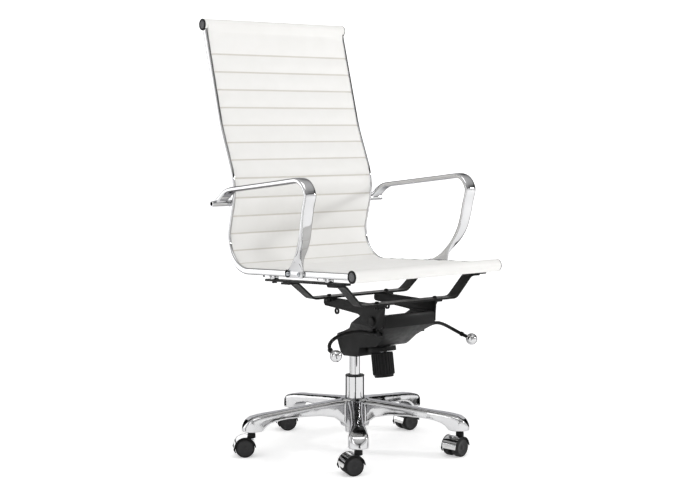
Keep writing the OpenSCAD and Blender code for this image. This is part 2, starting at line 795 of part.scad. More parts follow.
// Hood: a band over both wheels, a web between them, and a boss for the stem
module caster_hood(n) {
    boss_top = leg_rim - 1;
    color("silver") at_caster(n) difference() {
        union() {
            wheel_plane() translate([0, 0, -hood_w / 2]) difference() {
                cylinder(r = hood_out, h = hood_w);
                translate([0, 0, -1]) cylinder(r = hood_in, h = hood_w + 2);
                // open below a line that falls towards the tail
                rotate([0, 0, -8]) translate([-60, -120, -1]) cube([120, 120, hood_w + 2]);
            }
            wheel_plane() translate([0, 0, -web_t / 2]) difference() {
                cylinder(r = hood_in + 0.5, h = web_t);
                translate([-60, -60 - 12, -1]) cube([120, 60, web_t + 2]);
            }
            translate([0, 0, wheel_r + 12]) cylinder(r = 9, h = boss_top - wheel_r - 12);
        }
        // room for the wheels beside the boss
        for (s = [-1, 1]) wheel_plane() translate([0, 0, s * (wheel_in + wheel_t / 2) - (wheel_t + 1) / 2])
            cylinder(r = hood_in - 0.01, h = wheel_t + 1);
        wheel_plane() translate([0, 0, -web_t]) cylinder(d = axle_d, h = 2 * web_t);
        translate([0, 0, wheel_r + 8]) cylinder(d = stem_d, h = 60);
    }
}

module caster_stem(n) {
    color("gray") at_caster(n) translate([0, 0, wheel_r + 8])
        cylinder(d = stem_d, h = socket_top - 2 - wheel_r - 8);
}
module caster_axle(n) {
    color("gray") at_caster(n) wheel_plane() translate([0, 0, -axle_len / 2])
        cylinder(d = axle_d, h = axle_len);
}

// Wheel: a tread ring and a dished outer disc, closed over the axle's end
module caster_wheel(n, side) {
    color("black") at_caster(n) wheel_plane() mirror([0, 0, side > 0 ? 0 : 1])
        translate([0, 0, wheel_in]) difference() {
            rotate_extrude() polygon([[0, 0], [wheel_r - 1.5, 0], [wheel_r, 1.5], [wheel_r, wheel_t - 3],
                [wheel_r - 3, wheel_t], [wheel_r - 5, wheel_t], [wheel_r - 6, wheel_t - 1.5],
                [0, wheel_t - 1.5]]);
            translate([0, 0, -1]) cylinder(r = axle_d / 2 + run_gap, h = axle_len / 2 - wheel_in + 1.5);
        }
}

star_base();
column_tube();
guide_bush();
piston_rod();
thrust_bearing();
retaining_clip();
gas_cylinder();
valve_pin();
tilt_housing();
pivot_shaft();
tilt_spring();
tension_knob();
tension_bolt();
height_lever();
height_ball();
lock_lever();
lock_ball();
plate_left();
plate_right();
front_strap();
rear_strap();
side_bar_left();
side_bar_right();
rail_tabs();
seat_bolts();
rail_left();
rail_right();
front_tube();
top_tube();
end_caps();
cross_tube();
arm_left();
arm_right();
arm_screws();
sling();
for (n = [0 : 4]) {
    caster_hood(n);
    caster_stem(n);
    caster_axle(n);
    caster_wheel(n, 1);
    caster_wheel(n, -1);
}
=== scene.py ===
import math

import bmesh
import bpy
import numpy as np
from mathutils import Matrix, Vector


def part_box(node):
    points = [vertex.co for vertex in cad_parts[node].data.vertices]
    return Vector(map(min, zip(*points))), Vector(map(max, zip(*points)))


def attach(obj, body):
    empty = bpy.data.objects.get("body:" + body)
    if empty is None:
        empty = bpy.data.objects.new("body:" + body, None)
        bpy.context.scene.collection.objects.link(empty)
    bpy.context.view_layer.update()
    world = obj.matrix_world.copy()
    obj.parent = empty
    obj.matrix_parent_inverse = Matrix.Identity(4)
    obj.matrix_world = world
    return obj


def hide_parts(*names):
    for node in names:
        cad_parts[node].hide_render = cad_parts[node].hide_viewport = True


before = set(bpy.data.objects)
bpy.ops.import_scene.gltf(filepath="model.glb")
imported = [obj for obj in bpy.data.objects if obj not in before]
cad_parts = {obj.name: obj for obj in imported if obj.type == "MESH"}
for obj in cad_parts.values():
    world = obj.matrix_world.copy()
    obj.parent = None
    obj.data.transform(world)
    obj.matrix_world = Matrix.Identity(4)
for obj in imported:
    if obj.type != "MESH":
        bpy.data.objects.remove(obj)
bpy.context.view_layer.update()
MM = 0.001


# ---- Camera ----
# A long portrait lens at the sitter's right front, a little above the seat,
# looking down by a few degrees.
camera_side = math.radians(-37.8)
camera_away, camera_height = 3.666, 0.861
camera_down, camera_yaw = math.radians(5.1), math.radians(0.2)


def shown(name, data):
    """A new object of that data, put in the scene."""
    made = bpy.data.objects.new(name, data)
    bpy.context.scene.collection.objects.link(made)
    return made


camera_data = bpy.data.cameras.new("studio_camera")
camera_data.sensor_fit = "HORIZONTAL"
camera_data.sensor_width = 36.0
camera_data.lens = 71.85
camera = shown("studio_camera", camera_data)
camera.location = (math.sin(camera_side) * camera_away, -math.cos(camera_side) * camera_away,
                   camera_height)
camera.rotation_euler = (math.radians(90) - camera_down, 0, camera_side + camera_yaw)
bpy.context.scene.camera = camera


# ---- Studio ----
# A round sweep of white paper, floor and wall in one, lit evenly by soft boxes.
# The room above it has a dark band, and black flags stand round the chair, which
# give bright metal its dark lines.
def paint(hex_value):
    """An sRGB hex colour as linear RGBA."""
    parts = [int(hex_value[i:i + 2], 16) / 255 for i in (1, 3, 5)]
    return [c / 12.92 if c <= 0.04045 else ((c + 0.055) / 1.055) ** 2.4 for c in parts] + [1.0]


def add_node(tree, kind, inputs=None, **settings):
    """One node of a kind, with its settings, and each input set or linked."""
    made = tree.nodes.new(kind)
    for name, value in settings.items():
        setattr(made, name, value)
    for name, value in (inputs or {}).items():
        socket = made.inputs[name]
        if isinstance(value, bpy.types.NodeSocket):
            tree.links.new(value, socket)
        else:
            socket.default_value = value
    return made


def finish_of(name, shader_inputs, height=None, bump=(0.3, 0.2)):
    """A material: its shader's settings, and a bump from a height pattern."""
    material = bpy.data.materials.new(name)
    material.use_nodes = True
    tree = material.node_tree
    tree.nodes.clear()
    inputs = shader_inputs(tree) if callable(shader_inputs) else dict(shader_inputs)
    if height is not None:
        relief = add_node(tree, "ShaderNodeBump", {"Height": height(tree), "Strength": bump[0],
                                                   "Distance": bump[1] * MM})
        inputs["Normal"] = relief.outputs[0]
    shader = add_node(tree, "ShaderNodeBsdfPrincipled", inputs)
    add_node(tree, "ShaderNodeOutputMaterial", {"Surface": shader.outputs[0]})
    return material


def paper_inputs(tree):
    """Matt white paper, glowing on the floor and on the side behind the chair."""
    place = add_node(tree, "ShaderNodeTexCoord").outputs["Object"]
    away_from_camera = (-math.sin(camera_side), math.cos(camera_side), 0.0)
    behind = add_node(tree, "ShaderNodeVectorMath", {0: place, 1: away_from_camera},
                      operation="DOT_PRODUCT")
    high = add_node(tree, "ShaderNodeSeparateXYZ", {"Vector": place})
    glows = [add_node(tree, "ShaderNodeMapRange", {"Value": value, "From Min": start, "From Max": end,
                      "To Min": first, "To Max": last}, interpolation_type="SMOOTHSTEP").outputs[0]
             for value, start, end, first, last in ((high.outputs["Z"], 0.0, 1.3, 0.37, 0.08),
                                                    (behind.outputs["Value"], 3.2, 5.2, 0.08, 0.62))]
    glow = add_node(tree, "ShaderNodeMath", {0: glows[0], 1: glows[1]}, operation="MAXIMUM")
    return {"Base Color": paint("#f7f7f7"), "Roughness": 0.95, "Emission Color": paint("#ffffff"),
            "Emission Strength": glow.outputs[0]}


sweep_paper = finish_of("matt_white_paper", paper_inputs)
sweep_flat, sweep_bend, sweep_top, sweep_steps = 4.4, 1.6, 2.5, 96
sweep_profile = [(r, 0.0) for r in (0.0005, 1.5, 3.0, sweep_flat)]
sweep_profile += [(sweep_flat + sweep_bend * math.sin(a), sweep_bend - sweep_bend * math.cos(a))
                  for a in np.linspace(0, math.pi / 2, 17)[1:]]
sweep_profile += [(sweep_flat + sweep_bend, sweep_top)]
sweep_points = [(r * math.cos(a), r * math.sin(a), z) for r, z in sweep_profile
                for a in np.linspace(0, 2 * math.pi, sweep_steps, endpoint=False)]
sweep_faces = []
for i in range(0, (len(sweep_profile) - 1) * sweep_steps, sweep_steps):
    for j in range(sweep_steps):
        k = (j + 1) % sweep_steps
        sweep_faces.append((i + j, i + sweep_steps + j, i + sweep_steps + k, i + k))
sweep_mesh = bpy.data.meshes.new("studio_sweep")
sweep_mesh.from_pydata(sweep_points, [], sweep_faces)
sweep_mesh.shade_smooth()
sweep_mesh.materials.append(sweep_paper)
shown("studio_sweep", sweep_mesh)


def soft_box(name, turn, away, height, size, power, aim=(0, 0, 0.55)):
    """A soft box, turned round the chair from the camera's side."""
    data = bpy.data.lights.new(name, "AREA")
    data.shape = "RECTANGLE"
    data.size, data.size_y = size
    data.energy = power
    box = shown(name, data)
    angle = camera_side + math.radians(turn)
    box.location = (math.sin(angle) * away, -math.cos(angle) * away, height)
    box.rotation_euler = (Vector(aim) - box.location).to_track_quat("-Z", "Y").to_euler()


soft_box("key_box", 86, 3.4, 1.77, (0.3, 0.3), 33)
soft_box("front_box", -38, 3.4, 1.7, (1.2, 2.0), 12)
soft_box("left_box", -104, 3.0, 1.0, (1.4, 2.2), 11)
soft_box("top_box", 8, 0.9, 3.4, (2.2, 2.2), 25)

# Tall black flags, each with a tail on the floor, seen only in bright metal.
black_cloth = finish_of("black_flag_cloth", {"Base Color": paint("#050505"), "Roughness": 1.0,
                                             "Specular IOR Level": 0.0})
flag_places = [(8, 3.2, 0.3), (132, 2.6, 0.7), (-132, 2.6, 0.7), (-70, 3.0, 0.16)]
flag_start, flag_foot, flag_top = 0.55, 0.002, 2.3
for number, (turn, away, half_width) in enumerate(flag_places, 1):
    angle = camera_side + math.radians(turn)
    out = Vector((math.sin(angle), -math.cos(angle), 0))
    along = Vector((math.cos(angle), math.sin(angle), 0)) * half_width
    flag_mesh = bpy.data.meshes.new(f"black_flag_{number}")
    flag_mesh.from_pydata([out * r + along * (side * r / away) + Vector((0, 0, z))
                           for r, z in ((flag_start, flag_foot), (away, flag_foot), (away, flag_top))
                           for side in (-1, 1)], [], [(0, 1, 3, 2), (2, 3, 5, 4)])
    flag_mesh.materials.append(black_cloth)
    flag = shown(f"black_flag_{number}", flag_mesh)
    flag.visible_camera = flag.visible_diffuse = flag.visible_shadow = False

room = bpy.data.worlds.new("studio_room")
room.use_nodes = True
room_tree = room.node_tree
room_tree.nodes.clear()
ray_way = add_node(room_tree, "ShaderNodeTexCoord")
way_parts = add_node(room_tree, "ShaderNodeSeparateXYZ", {"Vector": ray_way.outputs["Generated"]})
room_tones = add_node(room_tree, "ShaderNodeValToRGB", {"Fac": way_parts.outputs["Z"]})
ramp = room_tones.color_ramp
ramp.elements[0].position, ramp.elements[0].color = 0.0, (0.8, 0.8, 0.8, 1)
ramp.elements[1].position, ramp.elements[1].color = 0.8, (0.66, 0.66, 0.66, 1)
for place, tone in ((0.22, 0.7), (0.27, 0.06), (0.42, 0.06), (0.56, 0.42)):
    stop = ramp.elements.new(place)
    stop.color = (tone, tone, tone, 1)
room_light = add_node(room_tree, "ShaderNodeBackground", {"Color": room_tones.outputs[0], "Strength": 1.0})
add_node(room_tree, "ShaderNodeOutputWorld", {"Surface": room_light.outputs[0]})
bpy.context.scene.world = room
bpy.context.scene.view_settings.view_transform = "Standard"


# ---- Star base ----
# The five-leg base, one pressure casting in aluminium, ground and polished on
# top. A hub holds the column, and each leg is arched, waisted and domed at its
# end, where it takes a caster's stem from below.
def piece_of(name, points, faces, material, smooth_under=35.0):
    """A mesh object from points in millimetres, smooth but for its sharp edges."""
    mesh = bpy.data.meshes.new(name)
    mesh.from_pydata([tuple(float(c) * MM for c in p) for p in points], [], faces)
    shape = bmesh.new()
    shape.from_mesh(mesh)
    bmesh.ops.remove_doubles(shape, verts=shape.verts, dist=1e-6)
    bmesh.ops.recalc_face_normals(shape, faces=shape.faces)
    shape.to_mesh(mesh)
    shape.free()
    mesh.shade_smooth()
    mesh.set_sharp_from_angle(angle=math.radians(smooth_under))
    mesh.materials.append(material)
    return shown(name, mesh)


def coated(piece, material):
    """The piece or CAD node with this material in place of any other."""
    piece.data.materials.clear()
    piece.data.materials.append(material)
    return piece


def baked(piece, smooth_under=35.0):
    """The piece with its modifiers worked into its mesh."""
    evaluated = piece.evaluated_get(bpy.context.evaluated_depsgraph_get())
    mesh = bpy.data.meshes.new_from_object(evaluated)
    piece.modifiers.clear()
    old, piece.data = piece.data, mesh
    bpy.data.meshes.remove(old)
    mesh.shade_smooth()
    mesh.set_sharp_from_angle(angle=math.radians(smooth_under))
    return piece


def fit(piece, body, slot, *nodes):
    """Fixes a piece to a body, in place of its CAD nodes; slot is not used."""
    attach(piece, body)
    if nodes:
        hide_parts(*nodes)
    return piece


def loft(rings, closed=False):
    """Faces that join equal closed rings in turn, with ends unless closed."""
    count, size = len(rings), len(rings[0])
    points = [p for ring in rings for p in ring]
    faces = []
    for i in range(count if closed else count - 1):
        a, b = i * size, (i + 1) % count * size
        faces += [(a + j, a + (j + 1) % size, b + (j + 1) % size, b + j) for j in range(size)]
    if not closed:
        faces += [tuple(range(size))[::-1], tuple((count - 1) * size + j for j in range(size))]
    return points, faces


def turned(profile, steps=64):
    """Points and faces of a profile [(radius, height)] turned round Z."""
    rings = [[(r * math.cos(a), r * math.sin(a), z) for r, z in profile]
             for a in np.linspace(0, 2 * math.pi, steps, endpoint=False)]
    return loft(rings, closed=True)


def joined(*shapes):
    """Several (points, faces) as one."""
    points, faces = [], []
    for some_points, some_faces in shapes:
        faces += [tuple(len(points) + i for i in face) for face in some_faces]
        points += list(some_points)
    return points, faces


def placed(shape, matrix):
    """A shape's points carried by a matrix in millimetres."""
    points, faces = shape
    return [tuple(matrix @ Vector(p)) for p in points], faces


def cloudy(tree, size_mm, detail=2.0, place=None):
    """A soft noise pattern whose clouds are about this many millimetres."""
    if place is None:
        place = add_node(tree, "ShaderNodeTexCoord").outputs["Object"]
    return add_node(tree, "ShaderNodeTexNoise", {"Vector": place, "Scale": 1 / (size_mm * MM),
                                                 "Detail": detail}).outputs["Fac"]


def between(tree, share, low, high):
    """A number between low and high, by a share from 0 to 1."""
    return add_node(tree, "ShaderNodeMapRange", {"Value": share, "From Min": 0.3, "From Max": 0.7,
                                                 "To Min": low, "To Max": high}).outputs[0]


# Die-cast aluminium, ground and buffed: a bright mirror with the slow waves
# that hand polishing leaves, and a haze where the buff passed less.
polished_casting = finish_of(
    "die_cast_aluminium_polished",
    lambda tree: {"Base Color": paint("#cfcfd0"), "Metallic": 1.0, "Specular Tint": paint("#97979a"),
                  "Roughness": between(tree, cloudy(tree, 22), 0.07, 0.16)},
    lambda tree: cloudy(tree, 30, 1.0), (0.25, 0.5))

leg_ways = [-36, 36, -108, 108, 180]
caster_ring, leg_end_r = 285.0, 25.0
leg_radii = [28, 46, 60, 99, 150, 197, 222, 240, 252, 260, 268, 285, 298, 306, 309.6]
leg_tops = [133, 132.2, 131, 126.5, 120.5, 115, 112.3, 110.5, 109, 107.8, 106.5, 102.5, 95, 84, 76]
leg_unders = [64, 77, 88, 95, 95, 92.5, 89, 83.5, 76, 66, 65, 65, 65, 65, 65]


def leg_half_width(radius):
    """Half a leg's width: waisted, then round about the caster's stem."""
    if radius > caster_ring:
        return math.sqrt(max(leg_end_r ** 2 - (radius - caster_ring) ** 2, 0.5))
    return float(np.interp(radius, [28, 60, 120, 200, 250, 285], [25, 21, 18.2, 18.5, 22, 25]))


def leg_ring(radius):
    """One section of a leg: flat below, upright sides, and a crowned top."""
    half = leg_half_width(radius)
    top, under = (float(np.interp(radius, leg_radii, z)) for z in (leg_tops, leg_unders))
    shoulder = max(top - 17, under + 1)
    ring = [(radius, -half, under), (radius, half, under)]
    for a in np.linspace(0, math.pi, 19):
        c, s = math.cos(a), math.sin(a)
        ring.append((radius, half * math.copysign(abs(c) ** 0.42, c),
                     shoulder + (top - shoulder) * s ** 0.5))
    return ring


leg_steps = np.unique(np.concatenate([
    np.linspace(28, 285, 60), 285 + 24.8 * np.sin(np.linspace(0, math.pi / 2, 16))]))
one_leg = loft([leg_ring(r) for r in leg_steps])
hub = turned([(25.3, 62), (36, 62), (38, 64), (38, 130), (36.5, 134), (33, 136), (25.3, 136)])
base_parts = [hub] + [placed(one_leg, Matrix.Rotation(math.radians(a - 90), 4, "Z")) for a in leg_ways]
star_base = piece_of("star_base_casting", *joined(*base_parts), polished_casting)
remesh = star_base.modifiers.new("one_casting", "REMESH")
remesh.mode, remesh.voxel_size = "VOXEL", 2.2 * MM
relax = star_base.modifiers.new("ground_fillets", "SMOOTH")
relax.factor, relax.iterations = 0.5, 5
baked(star_base, 60)
fit(coated(star_base, polished_casting), "base", "cast_base", "star_base")


# ---- Gas column ----
# A chrome-plated steel tube stands in the hub, and the gas cylinder slides in a
# plastic bush at its mouth. Rod, bearing and clip are inside, of bright steel.
# Chrome plate: a near mirror, neutral in tone, with very faint polishing waves.
chrome_plate = finish_of(
    "chrome_plated_steel_polished",
    lambda tree: {"Base Color": paint("#cfcfd0"), "Metallic": 1.0, "Specular Tint": paint("#848487"),
                  "Roughness": between(tree, cloudy(tree, 18), 0.035, 0.075)},
    lambda tree: cloudy(tree, 60, 1.0), (0.06, 0.5))
# Zinc-plated steel: grey and a little cloudy, where it was dipped and dried.
zinc_plate = finish_of(
    "zinc_plated_steel",
    lambda tree: {"Base Color": paint("#b4b7bb"), "Metallic": 1.0,
                  "Roughness": between(tree, cloudy(tree, 7), 0.22, 0.38)},
    lambda tree: cloudy(tree, 1.5), (0.15, 0.1))
# Moulded nylon, black: spark-eroded mould texture of about a millimetre, drawn
# a little coarser than the real 0.4 mm so that it shows.
black_nylon = finish_of(
    "moulded_nylon_black",
    lambda tree: {"Base Color": paint("#0c0c0d"), "IOR": 1.53, "Specular IOR Level": 0.2,
                  "Roughness": between(tree, cloudy(tree, 5), 0.5, 0.62)},
    lambda tree: cloudy(tree, 1.0), (0.25, 0.12))


def rebuilt(node, name, material, body, slot, edge_mm=0.0, smooth_under=35.0):
    """A CAD node's shape as one clean mesh, its sharp edges broken by edge_mm."""
    piece = shown(name, bpy.data.meshes.new(name))
    shape = bmesh.new()
    shape.from_mesh(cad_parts[node].data)
    bmesh.ops.remove_doubles(shape, verts=shape.verts, dist=2e-5)
    bmesh.ops.dissolve_limit(shape, angle_limit=math.radians(0.8), verts=shape.verts,
                             edges=shape.edges)
    shape.to_mesh(piece.data)
    shape.free()
    if edge_mm:
        bevel = piece.modifiers.new("broken_edges", "BEVEL")
        bevel.width, bevel.segments, bevel.limit_method = edge_mm * MM, 2, "ANGLE"
        bevel.angle_limit = math.radians(32)
        bevel.use_clamp_overlap, bevel.harden_normals = True, False
    return fit(coated(baked(piece, smooth_under), material), body, slot, node)


def tube_piece(name, profile, material, body, slot, node):
    """A turned part on the column's axis in place of a CAD node."""
    return fit(piece_of(name, *turned(profile, 96), material), body, slot, node)


column_profile = [(5.3, 44), (24.2, 44), (25, 44.8), (25, 193.4), (24.4, 194), (23, 194),
                  (23, 48), (5.3, 48)]
bush_profile = [(14.05, 144), (22.9, 144), (22.9, 194), (25.2, 194.1), (25.5, 194.7), (25.5, 196),
                (24.8, 197), (15.2, 197), (14.05, 196)]
cylinder_profile = [(5.1, 104), (13.2, 104), (14, 104.8), (14, 315), (13, 316), (4.1, 316),
                    (4.1, 300), (11, 300), (11, 114), (5.1, 114)]
tube_piece("column_tube_chromed", column_profile, chrome_plate, "base", "chrome_steel", "column_tube")
tube_piece("column_bush_moulded", bush_profile, black_nylon, "base", "black_plastic", "guide_bush")
tube_piece("gas_cylinder_chromed", cylinder_profile, chrome_plate, "lift", "chrome_steel",
           "gas_cylinder")
for node in ("piston_rod", "thrust_bearing", "retaining_clip", "valve_pin"):
    coated(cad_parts[node], zinc_plate)


# ---- Casters ----
# Five twin-wheel casters. A nylon body with a chromed hood band over both wheels
# turns on a steel stem, and two solid nylon wheels run on one axle.
# Vacuum-plated nylon: as bright as chrome, over a slightly rippled moulding.
plated_nylon = finish_of(
    "vacuum_plated_nylon",
    lambda tree: {"Base Color": paint("#cecece"), "Metallic": 1.0,
                  "Roughness": between(tree, cloudy(tree, 9), 0.06, 0.12)},
    lambda tree: cloudy(tree, 14, 1.0), (0.12, 0.4))
# The wheel's disc is a dark grey moulding with a satin face.
disc_nylon = finish_of(
    "moulded_nylon_dark_grey",
    lambda tree: {"Base Color": paint("#1d1d1e"), "IOR": 1.53, "Specular IOR Level": 0.3,
                  "Roughness": between(tree, cloudy(tree, 4), 0.42, 0.55)},
    lambda tree: cloudy(tree, 1.2), (0.2, 0.1))
# Tread: polyurethane, near black, scuffed dull by the floor it rolls on.
tread_rubber = finish_of(
    "polyurethane_tread_black",
    lambda tree: {"Base Color": paint("#0b0b0b"), "Specular IOR Level": 0.28,
                  "Roughness": between(tree, cloudy(tree, 3), 0.5, 0.72)},
    lambda tree: cloudy(tree, 0.9), (0.3, 0.15))

caster_ways = [-108, -80, -120, -93, -115]
caster_trail, wheel_r = 18.0, 25.0


def arc_band(inner, outer, half_width, start, end, steps, ease=1.0):
    """A bent band round the axle, from one angle to another, edges eased."""
    rings = []
    for degrees in np.linspace(start, end, steps):
        c, s = math.cos(math.radians(degrees)), math.sin(math.radians(degrees))
        section = [(inner, -half_width), (outer - ease, -half_width), (outer, -half_width + ease),
                   (outer, half_width - ease), (outer - ease, half_width), (inner, half_width)]
        rings.append([(r * c, y, r * s) for r, y in section])
    return loft(rings)


def side_rim(side):
    """The black edge of the body beside a wheel, with its pointed tail."""
    rings = []
    for degrees in np.linspace(-24, 176, 60):
        c, s = math.cos(math.radians(degrees)), math.sin(math.radians(degrees))
        tail = max(0.0, min(1.0, (6 - degrees) / 24))
        inner, outer = 25.6, 28.5 + 2.2 * math.sin(math.pi * min(1.0, tail)) * (1 - 0.4 * tail)
        y0, y1 = side * 22.6, side * 24.9
        section = [(inner, y0), (outer, y0), (outer, y1 - side * 0.5), (outer - 0.6, y1), (inner, y1)]
        rings.append([(r * c, y, r * s) for r, y in section])
    return loft(rings)


def wheel_parts(side):
    """Tread and disc of one wheel: rounded tread, dished face, small centre."""
    tread = [(7.0, 6.0), (22.6, 6.0), (24.4, 6.9), (25.0, 9.0), (25.0, 20.0), (24.3, 22.6),
             (22.8, 23.8), (21.2, 24.0), (20.9, 23.2), (7.0, 23.2)]
    disc = [(0.05, 20.0), (20.7, 20.0), (20.7, 23.3), (20.2, 23.9), (17.0, 24.0), (16.2, 23.5),
            (6.4, 23.2), (5.8, 23.7), (5.0, 24.0), (0.05, 24.1)]
    turn_over = Matrix.Rotation(math.radians(-90 * side), 4, "X")
    return [placed(turned(tread, 72), turn_over), placed(turned(disc, 72), turn_over)]


for number, (leg_way, caster_way) in enumerate(zip(leg_ways, caster_ways), 1):
    a = math.radians(leg_way)
    stem_at = (Matrix.Translation((caster_ring * math.sin(a), -caster_ring * math.cos(a), 0))
               @ Matrix.Rotation(math.radians(caster_way - 90), 4, "Z"))
    axle_at = stem_at @ Matrix.Translation((caster_trail, 0, wheel_r))
    body, hood = f"caster_{number}", f"caster_{number}_hood"
    band = placed(arc_band(26.3, 28.2, 22.5, -6, 172, 56, 0.5), axle_at)
    fit(piece_of(f"{hood}_band", *band, plated_nylon), body, "caster_chrome", hood)
    web = arc_band(6.0, 26.6, 5.5, -4, 176, 40, 0.8)
    boss = turned([(0.05, 48), (10.5, 48), (10.5, 58), (9.2, 60.5), (9.2, 63.2), (8.4, 64),
                   (0.05, 64)], 48)
    neck = joined(placed(joined(web, side_rim(1), side_rim(-1)), axle_at), placed(boss, stem_at))
    fit(piece_of(f"{hood}_body", *neck, black_nylon), body, "caster_plastic", hood)
    for side, word in ((1, "left"), (-1, "right")):
        tread, disc = (placed(part, axle_at) for part in wheel_parts(side))
        node = f"caster_{number}_wheel_{word}"
        wheel_body = f"wheel_{number}_{word}"
        fit(piece_of(f"{node}_tread", *tread, tread_rubber), wheel_body, "caster_plastic", node)
        fit(piece_of(f"{node}_disc", *disc, disc_nylon), wheel_body, "caster_plastic", node)
    for part in ("stem", "axle"):
        coated(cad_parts[f"caster_{number}_{part}"], zinc_plate)


# ---- Tilt mechanism ----
# A pressed steel housing on top of the gas cylinder, black powder-coated, with
# its pivot shaft, spring and lever pins. The coat rounds every pressed edge.
# Powder coat: semi-matt black with a fine orange peel of about 1.5 mm, and
# a gloss that varies in soft patches.
powder_coat = finish_of(
    "black_powder_coat_semi_matt",
    lambda tree: {"Base Color": paint("#0c0c0c"), "IOR": 1.5, "Specular IOR Level": 0.17,
                  "Roughness": between(tree, cloudy(tree, 12), 0.38, 0.5)},
    lambda tree: cloudy(tree, 1.5), (0.3, 0.15))
rebuilt("tilt_housing", "tilt_housing_pressed", powder_coat, "lift", "black_steel", 1.6)
rebuilt("pivot_shaft", "pivot_shaft_blacked", powder_coat, "lift", "black_steel", 0.8)
coated(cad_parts["tilt_spring"], zinc_plate)


# ---- Tension knob ----
# A moulded knob under the housing sets the tilt's force. Its grip is 24 round
# ribs between two collars, and it turns with a steel bolt.
knob_at = Matrix.Translation((0, -114, 271)) @ Matrix.Rotation(math.radians(-9), 4, "X")
knob_core = placed(turned([(0.05, -64), (23.4, -64), (25, -62.5), (25, -58.2), (27.2, -57.6), (27.2, -1.2),
                           (28.2, -0.9), (28.6, -0.3), (28.0, 0), (0.05, 0)], 96), knob_at)
tension_knob = piece_of("tension_knob_moulded", *knob_core, black_nylon)


def ribs_round(name, matrix, middle, material):
    """A node tree that stands round ribs in a circle about a placed axis."""
    tree = bpy.data.node_groups.new(name, "GeometryNodeTree")
    for label, kind in (("Core", "Geometry"), ("Rib Count", "Int"), ("Ring Radius", "Float"),
                        ("Rib Radius", "Float"), ("Rib Length", "Float")):
        tree.interface.new_socket(label, in_out="INPUT", socket_type="NodeSocket" + kind)
    tree.interface.new_socket("Geometry", in_out="OUTPUT", socket_type="NodeSocketGeometry")
    given = add_node(tree, "NodeGroupInput").outputs
    ring = add_node(tree, "GeometryNodeMeshCircle", {"Vertices": given["Rib Count"],
                                                     "Radius": given["Ring Radius"]})
    rib = add_node(tree, "GeometryNodeMeshCylinder", {"Vertices": 10, "Side Segments": 1,
                   "Radius": given["Rib Radius"], "Depth": given["Rib Length"]})
    stood = add_node(tree, "GeometryNodeInstanceOnPoints", {"Points": ring.outputs[0],
                                                            "Instance": rib.outputs[0]})
    carried = add_node(tree, "GeometryNodeTransform", {
        "Geometry": stood.outputs[0], "Rotation": tuple(matrix.to_euler()),
        "Translation": tuple(c * MM for c in matrix @ Vector((0, 0, middle)))})
    both = add_node(tree, "GeometryNodeJoinGeometry")
    tree.links.new(given["Core"], both.inputs[0])
    tree.links.new(carried.outputs[0], both.inputs[0])
    real = add_node(tree, "GeometryNodeRealizeInstances", {"Geometry": both.outputs[0]})
    done = add_node(tree, "GeometryNodeSetMaterial", {"Geometry": real.outputs[0],
                                                      "Material": material})
    add_node(tree, "NodeGroupOutput", {"Geometry": done.outputs[0]})
    return tree


def grown(piece, tree, **sizes):
    """The piece with a node tree's geometry, its named inputs set, made a mesh."""
    growth = piece.modifiers.new(tree.name, "NODES")
    growth.node_group = tree
    for socket in tree.interface.items_tree:
        label = socket.name.lower().replace(" ", "_")
        if label in sizes:
            growth[socket.identifier] = sizes[label]
    return baked(piece)


rib_low, rib_high = -56.5, -2.2
grip_ribs = ribs_round("knob_grip_ribs", knob_at, (rib_low + rib_high) / 2, black_nylon)
grown(tension_knob, grip_ribs, rib_count=24, ring_radius=26.9 * MM, rib_radius=2.0 * MM,
      rib_length=(rib_high - rib_low) * MM)
fit(tension_knob, "tension", "black_plastic", "tension_knob")
coated(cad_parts["tension_bolt"], zinc_plate)


# ---- Levers ----
# Two bent steel rods, black, each with a chromed ball on its end: the sitter's
# right one lifts to free the gas cylinder, the left one locks the tilt.
ball_at, ball_r, rod_r = Vector((223, -212.5, 297)), 15.0, 4.5
bow = [Vector(p) for p in ((92, -180, 337), (144, -178, 357), (214, -110, 322), ball_at)]
rod_line = [Vector((59, -180, 337)), Vector((75, -180, 337))]
for t in np.linspace(0, 0.945, 40):
    u = 1 - t
    rod_line.append(bow[0] * u ** 3 + 3 * bow[1] * t * u ** 2 + 3 * bow[2] * t * t * u + bow[3] * t ** 3)


def round_rod(line, radius, sides=16):
    """A round rod along a line of points."""
    rings = []
    for i, at in enumerate(line):
        way = (line[min(i + 1, len(line) - 1)] - line[max(i - 1, 0)]).normalized()
        across = way.cross(Vector((0, 0, 1))).normalized()
        upright = across.cross(way)
        rings.append([tuple(at + (across * math.cos(a) + upright * math.sin(a)) * radius)
                      for a in np.linspace(0, 2 * math.pi, sides, endpoint=False)])
    return loft(rings)


pin_at, pin_r, boss_r = Vector((70, -180, 337)), 3, 7
pin_profile = [(0.05, -13), (pin_r, -13), (pin_r, -6.5), (boss_r, -6.5), (boss_r, 6.5), (pin_r, 6.5),
               (pin_r, 13), (0.05, 13)]
lever_pin = placed(turned(pin_profile, 32),
                   Matrix.Translation(pin_at) @ Matrix.Rotation(math.radians(90), 4, "X"))
collar_at = rod_line[-4]
collar_turn = (ball_at - collar_at).to_track_quat("Z", "Y").to_matrix().to_4x4()
collar = placed(turned([(rod_r, -3), (6.2, -2.5), (6.2, 2.5), (rod_r, 3)], 32),
                Matrix.Translation(collar_at) @ collar_turn)
ball_profile = [(max(ball_r * math.cos(a), 0.05), ball_r * math.sin(a))
                for a in np.linspace(-math.pi / 2, math.pi / 2, 33)]
ball = placed(turned(ball_profile, 48), Matrix.Translation(ball_at))
as_is = Matrix.Identity(4)
other_side = Matrix.Scale(-1, 4, (1, 0, 0))
